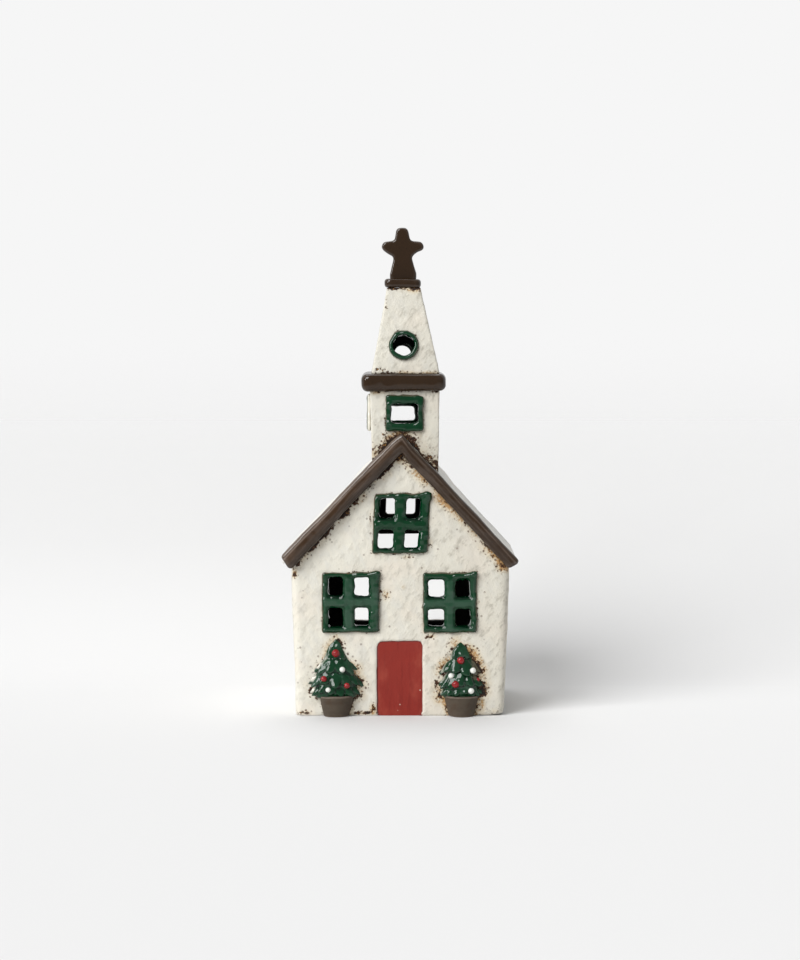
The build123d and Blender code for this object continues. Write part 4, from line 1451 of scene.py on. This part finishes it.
class VILLAGE_OT_stage(bpy.types.Operator):
    """Sets up the camera, the light, the floor and the backdrop"""

    bl_idname = "village.stage"
    bl_label = "Studio"

    def execute(self, context):
        studio = context.scene.village_studio
        paint = context.scene.village_colours
        context.scene.view_settings.view_transform = "Standard"
        self.camera(context, studio)
        self.lamps(context, studio)
        self.surroundings(context, studio, paint)
        self.papers(context, studio, paint)
        return {"FINISHED"}

    def camera(self, context, studio):
        """Camera in front of the house."""
        lens = bpy.data.cameras.new("Camera")
        lens.sensor_fit = "VERTICAL"
        lens.sensor_height = SENSOR_HEIGHT
        lens.lens = studio.lens
        camera = bpy.data.objects.new("Camera", lens)
        camera.location = (0, -studio.camera_distance, studio.camera_height)
        camera.rotation_euler = (math.pi / 2 - studio.camera_tilt, 0, 0)
        context.scene.collection.objects.link(camera)
        context.scene.camera = camera

    def lamps(self, context, studio):
        """The soft lamp, the lamp from behind and the small lamp for the glints."""
        for name in ("key", "back", "spark"):
            height, side, strength, softness = [
                getattr(studio, f"{name}_{what}")
                for what in ("height", "side", "strength", "softness")
            ]
            light = bpy.data.lights.new(name.capitalize(), "SUN")
            light.energy = strength
            light.angle = softness
            lamp = bpy.data.objects.new(name.capitalize(), light)
            level = math.cos(height)
            towards = (-level * math.sin(side), -level * math.cos(side), math.sin(height))
            lamp.rotation_euler = Vector(towards).to_track_quat("Z", "Y").to_euler()
            context.scene.collection.objects.link(lamp)

    def surroundings(self, context, studio, paint):
        """Light from all round, and the backdrop that the camera, gloss and glass see."""
        context.scene.world = bpy.data.worlds.new("Studio")
        world = Nodes(context.scene.world)
        camera, glossy, through = [
            world.node("ShaderNodeLightPath", output=name)
            for name in ("Is Camera Ray", "Is Glossy Ray", "Is Transmission Ray")
        ]
        towards = world.node("ShaderNodeTexCoord", output="Generated")
        behind = world.axis(towards, "Y").rise(-0.3, 0.2)
        seen = (camera + (glossy + through) * behind).at_most(1.0)
        sky, backdrop = [
            world.node("ShaderNodeBackground", None, {"Color": tint, "Strength": strength})
            for tint, strength in (((1, 1, 1, 1), studio.sky), (paint.backdrop, 1.0))
        ]
        both = world.node("ShaderNodeMixShader", None, {0: seen, 1: sky, 2: backdrop})
        world.node("ShaderNodeOutputWorld", None, {"Surface": both})

    def papers(self, context, studio, paint):
        """Flat paper under the house, and paper that curves up behind it."""
        start, radius = studio.sweep_start, studio.sweep_radius
        flat = [(y, 0.0) for y in np.linspace(PAPER_FRONT, PAPER_BACK, 16)]
        bend = np.radians(np.linspace(0, SWEEP_TURN, 29))
        curve = [(start + radius * math.sin(a), radius * (1 - math.cos(a))) for a in bend]
        self.paper(context, paint, "floor", flat, start)
        sweep = self.paper(context, paint, "sweep", curve, 0.0)
        sweep.visible_shadow = False

    def paper(self, context, paint, name, profile, start):
        """One paper along a profile, which fades into the backdrop behind or above its start."""
        columns = np.linspace(-PAPER_HALF, PAPER_HALF, 9)
        count = len(columns)
        points = [(x, y, z) for y, z in profile for x in columns]
        corners = [row * count + i for row in range(len(profile) - 1) for i in range(count - 1)]
        faces = [(c, c + 1, c + count + 1, c + count) for c in corners]
        mesh = bpy.data.meshes.new(name)
        mesh.from_pydata(points, [], faces)
        mesh.shade_smooth()
        mesh.materials.append(self.paper_finish(paint, name, start))
        sheet = bpy.data.objects.new(name, mesh)
        context.scene.collection.objects.link(sheet)
        return sheet

    def paper_finish(self, paint, name, start):
        """Matt paper, see-through from behind and where it fades."""
        axis, middle_fade, side_fade, sides = FADES[name]
        finish = new_finish(f"{name}_paper")
        place = finish.place()
        away = finish.node("ShaderNodeVectorMath", {"operation": "LENGTH"}, {0: place}, "Value")
        along = finish.axis(place, axis)
        aside = abs(finish.axis(place, "X"))
        behind = finish.node("ShaderNodeNewGeometry", output="Backfacing")
        facing = finish.node("ShaderNodeNewGeometry", output="Normal")
        upright = (finish.axis(facing, "Y") * -1 * 1.4).at_most(1.0)
        fibre = finish.noise(1.2, 2)
        base = finish.layers(paint.floor, (upright, paint.sweep), (fibre * 0.03, paint.cream_cool))
        fade, early = [
            along.rise(start + low, start + high) for low, high in (middle_fade, side_fade)
        ]
        shown = (1 - away.rise(*FADE_AWAY)) * (1 - behind) * (1 - fade)
        shown = shown * (1 - early * aside.rise(*sides))
        return finish.surface(base, 0.9, Alpha=shown, **{"Specular IOR Level": 0.0})


class VILLAGE_PT_panel(bpy.types.Panel):
    """Lists the steps that dress the house"""

    bl_idname = "VILLAGE_PT_panel"
    bl_label = "Village house"
    bl_space_type = "VIEW_3D"
    bl_region_type = "UI"
    bl_category = "Village house"

    def draw(self, context):
        for step in STEPS:
            self.layout.operator(step.bl_idname)
        for group in GROUPS:
            settings = getattr(context.scene, group)
            for name in settings.bl_rna.properties.keys():
                if name not in ("rna_type", "name"):
                    self.layout.prop(settings, name)


GROUPS = {
    "village_colours": GlazeColours,
    "village_sizes": ClaySizes,
    "village_studio": StudioSettings,
}
STEPS = (
    VILLAGE_OT_stage,
    VILLAGE_OT_trim,
    VILLAGE_OT_windows,
    VILLAGE_OT_door,
    VILLAGE_OT_trees,
    VILLAGE_OT_shell,
    VILLAGE_OT_tealight,
)
CLASSES = (*GROUPS.values(), *STEPS, VILLAGE_PT_panel)


def register():
    for kind in CLASSES:
        bpy.utils.register_class(kind)
    for name, group in GROUPS.items():
        setattr(bpy.types.Scene, name, PointerProperty(type=group))


def unregister():
    for name in GROUPS:
        delattr(bpy.types.Scene, name)
    for kind in reversed(CLASSES):
        bpy.utils.unregister_class(kind)


def main():
    register()
    for step in STEPS:
        getattr(bpy.ops.village, step.bl_idname.split(".")[1])()


if __name__ == "__main__":
    main()
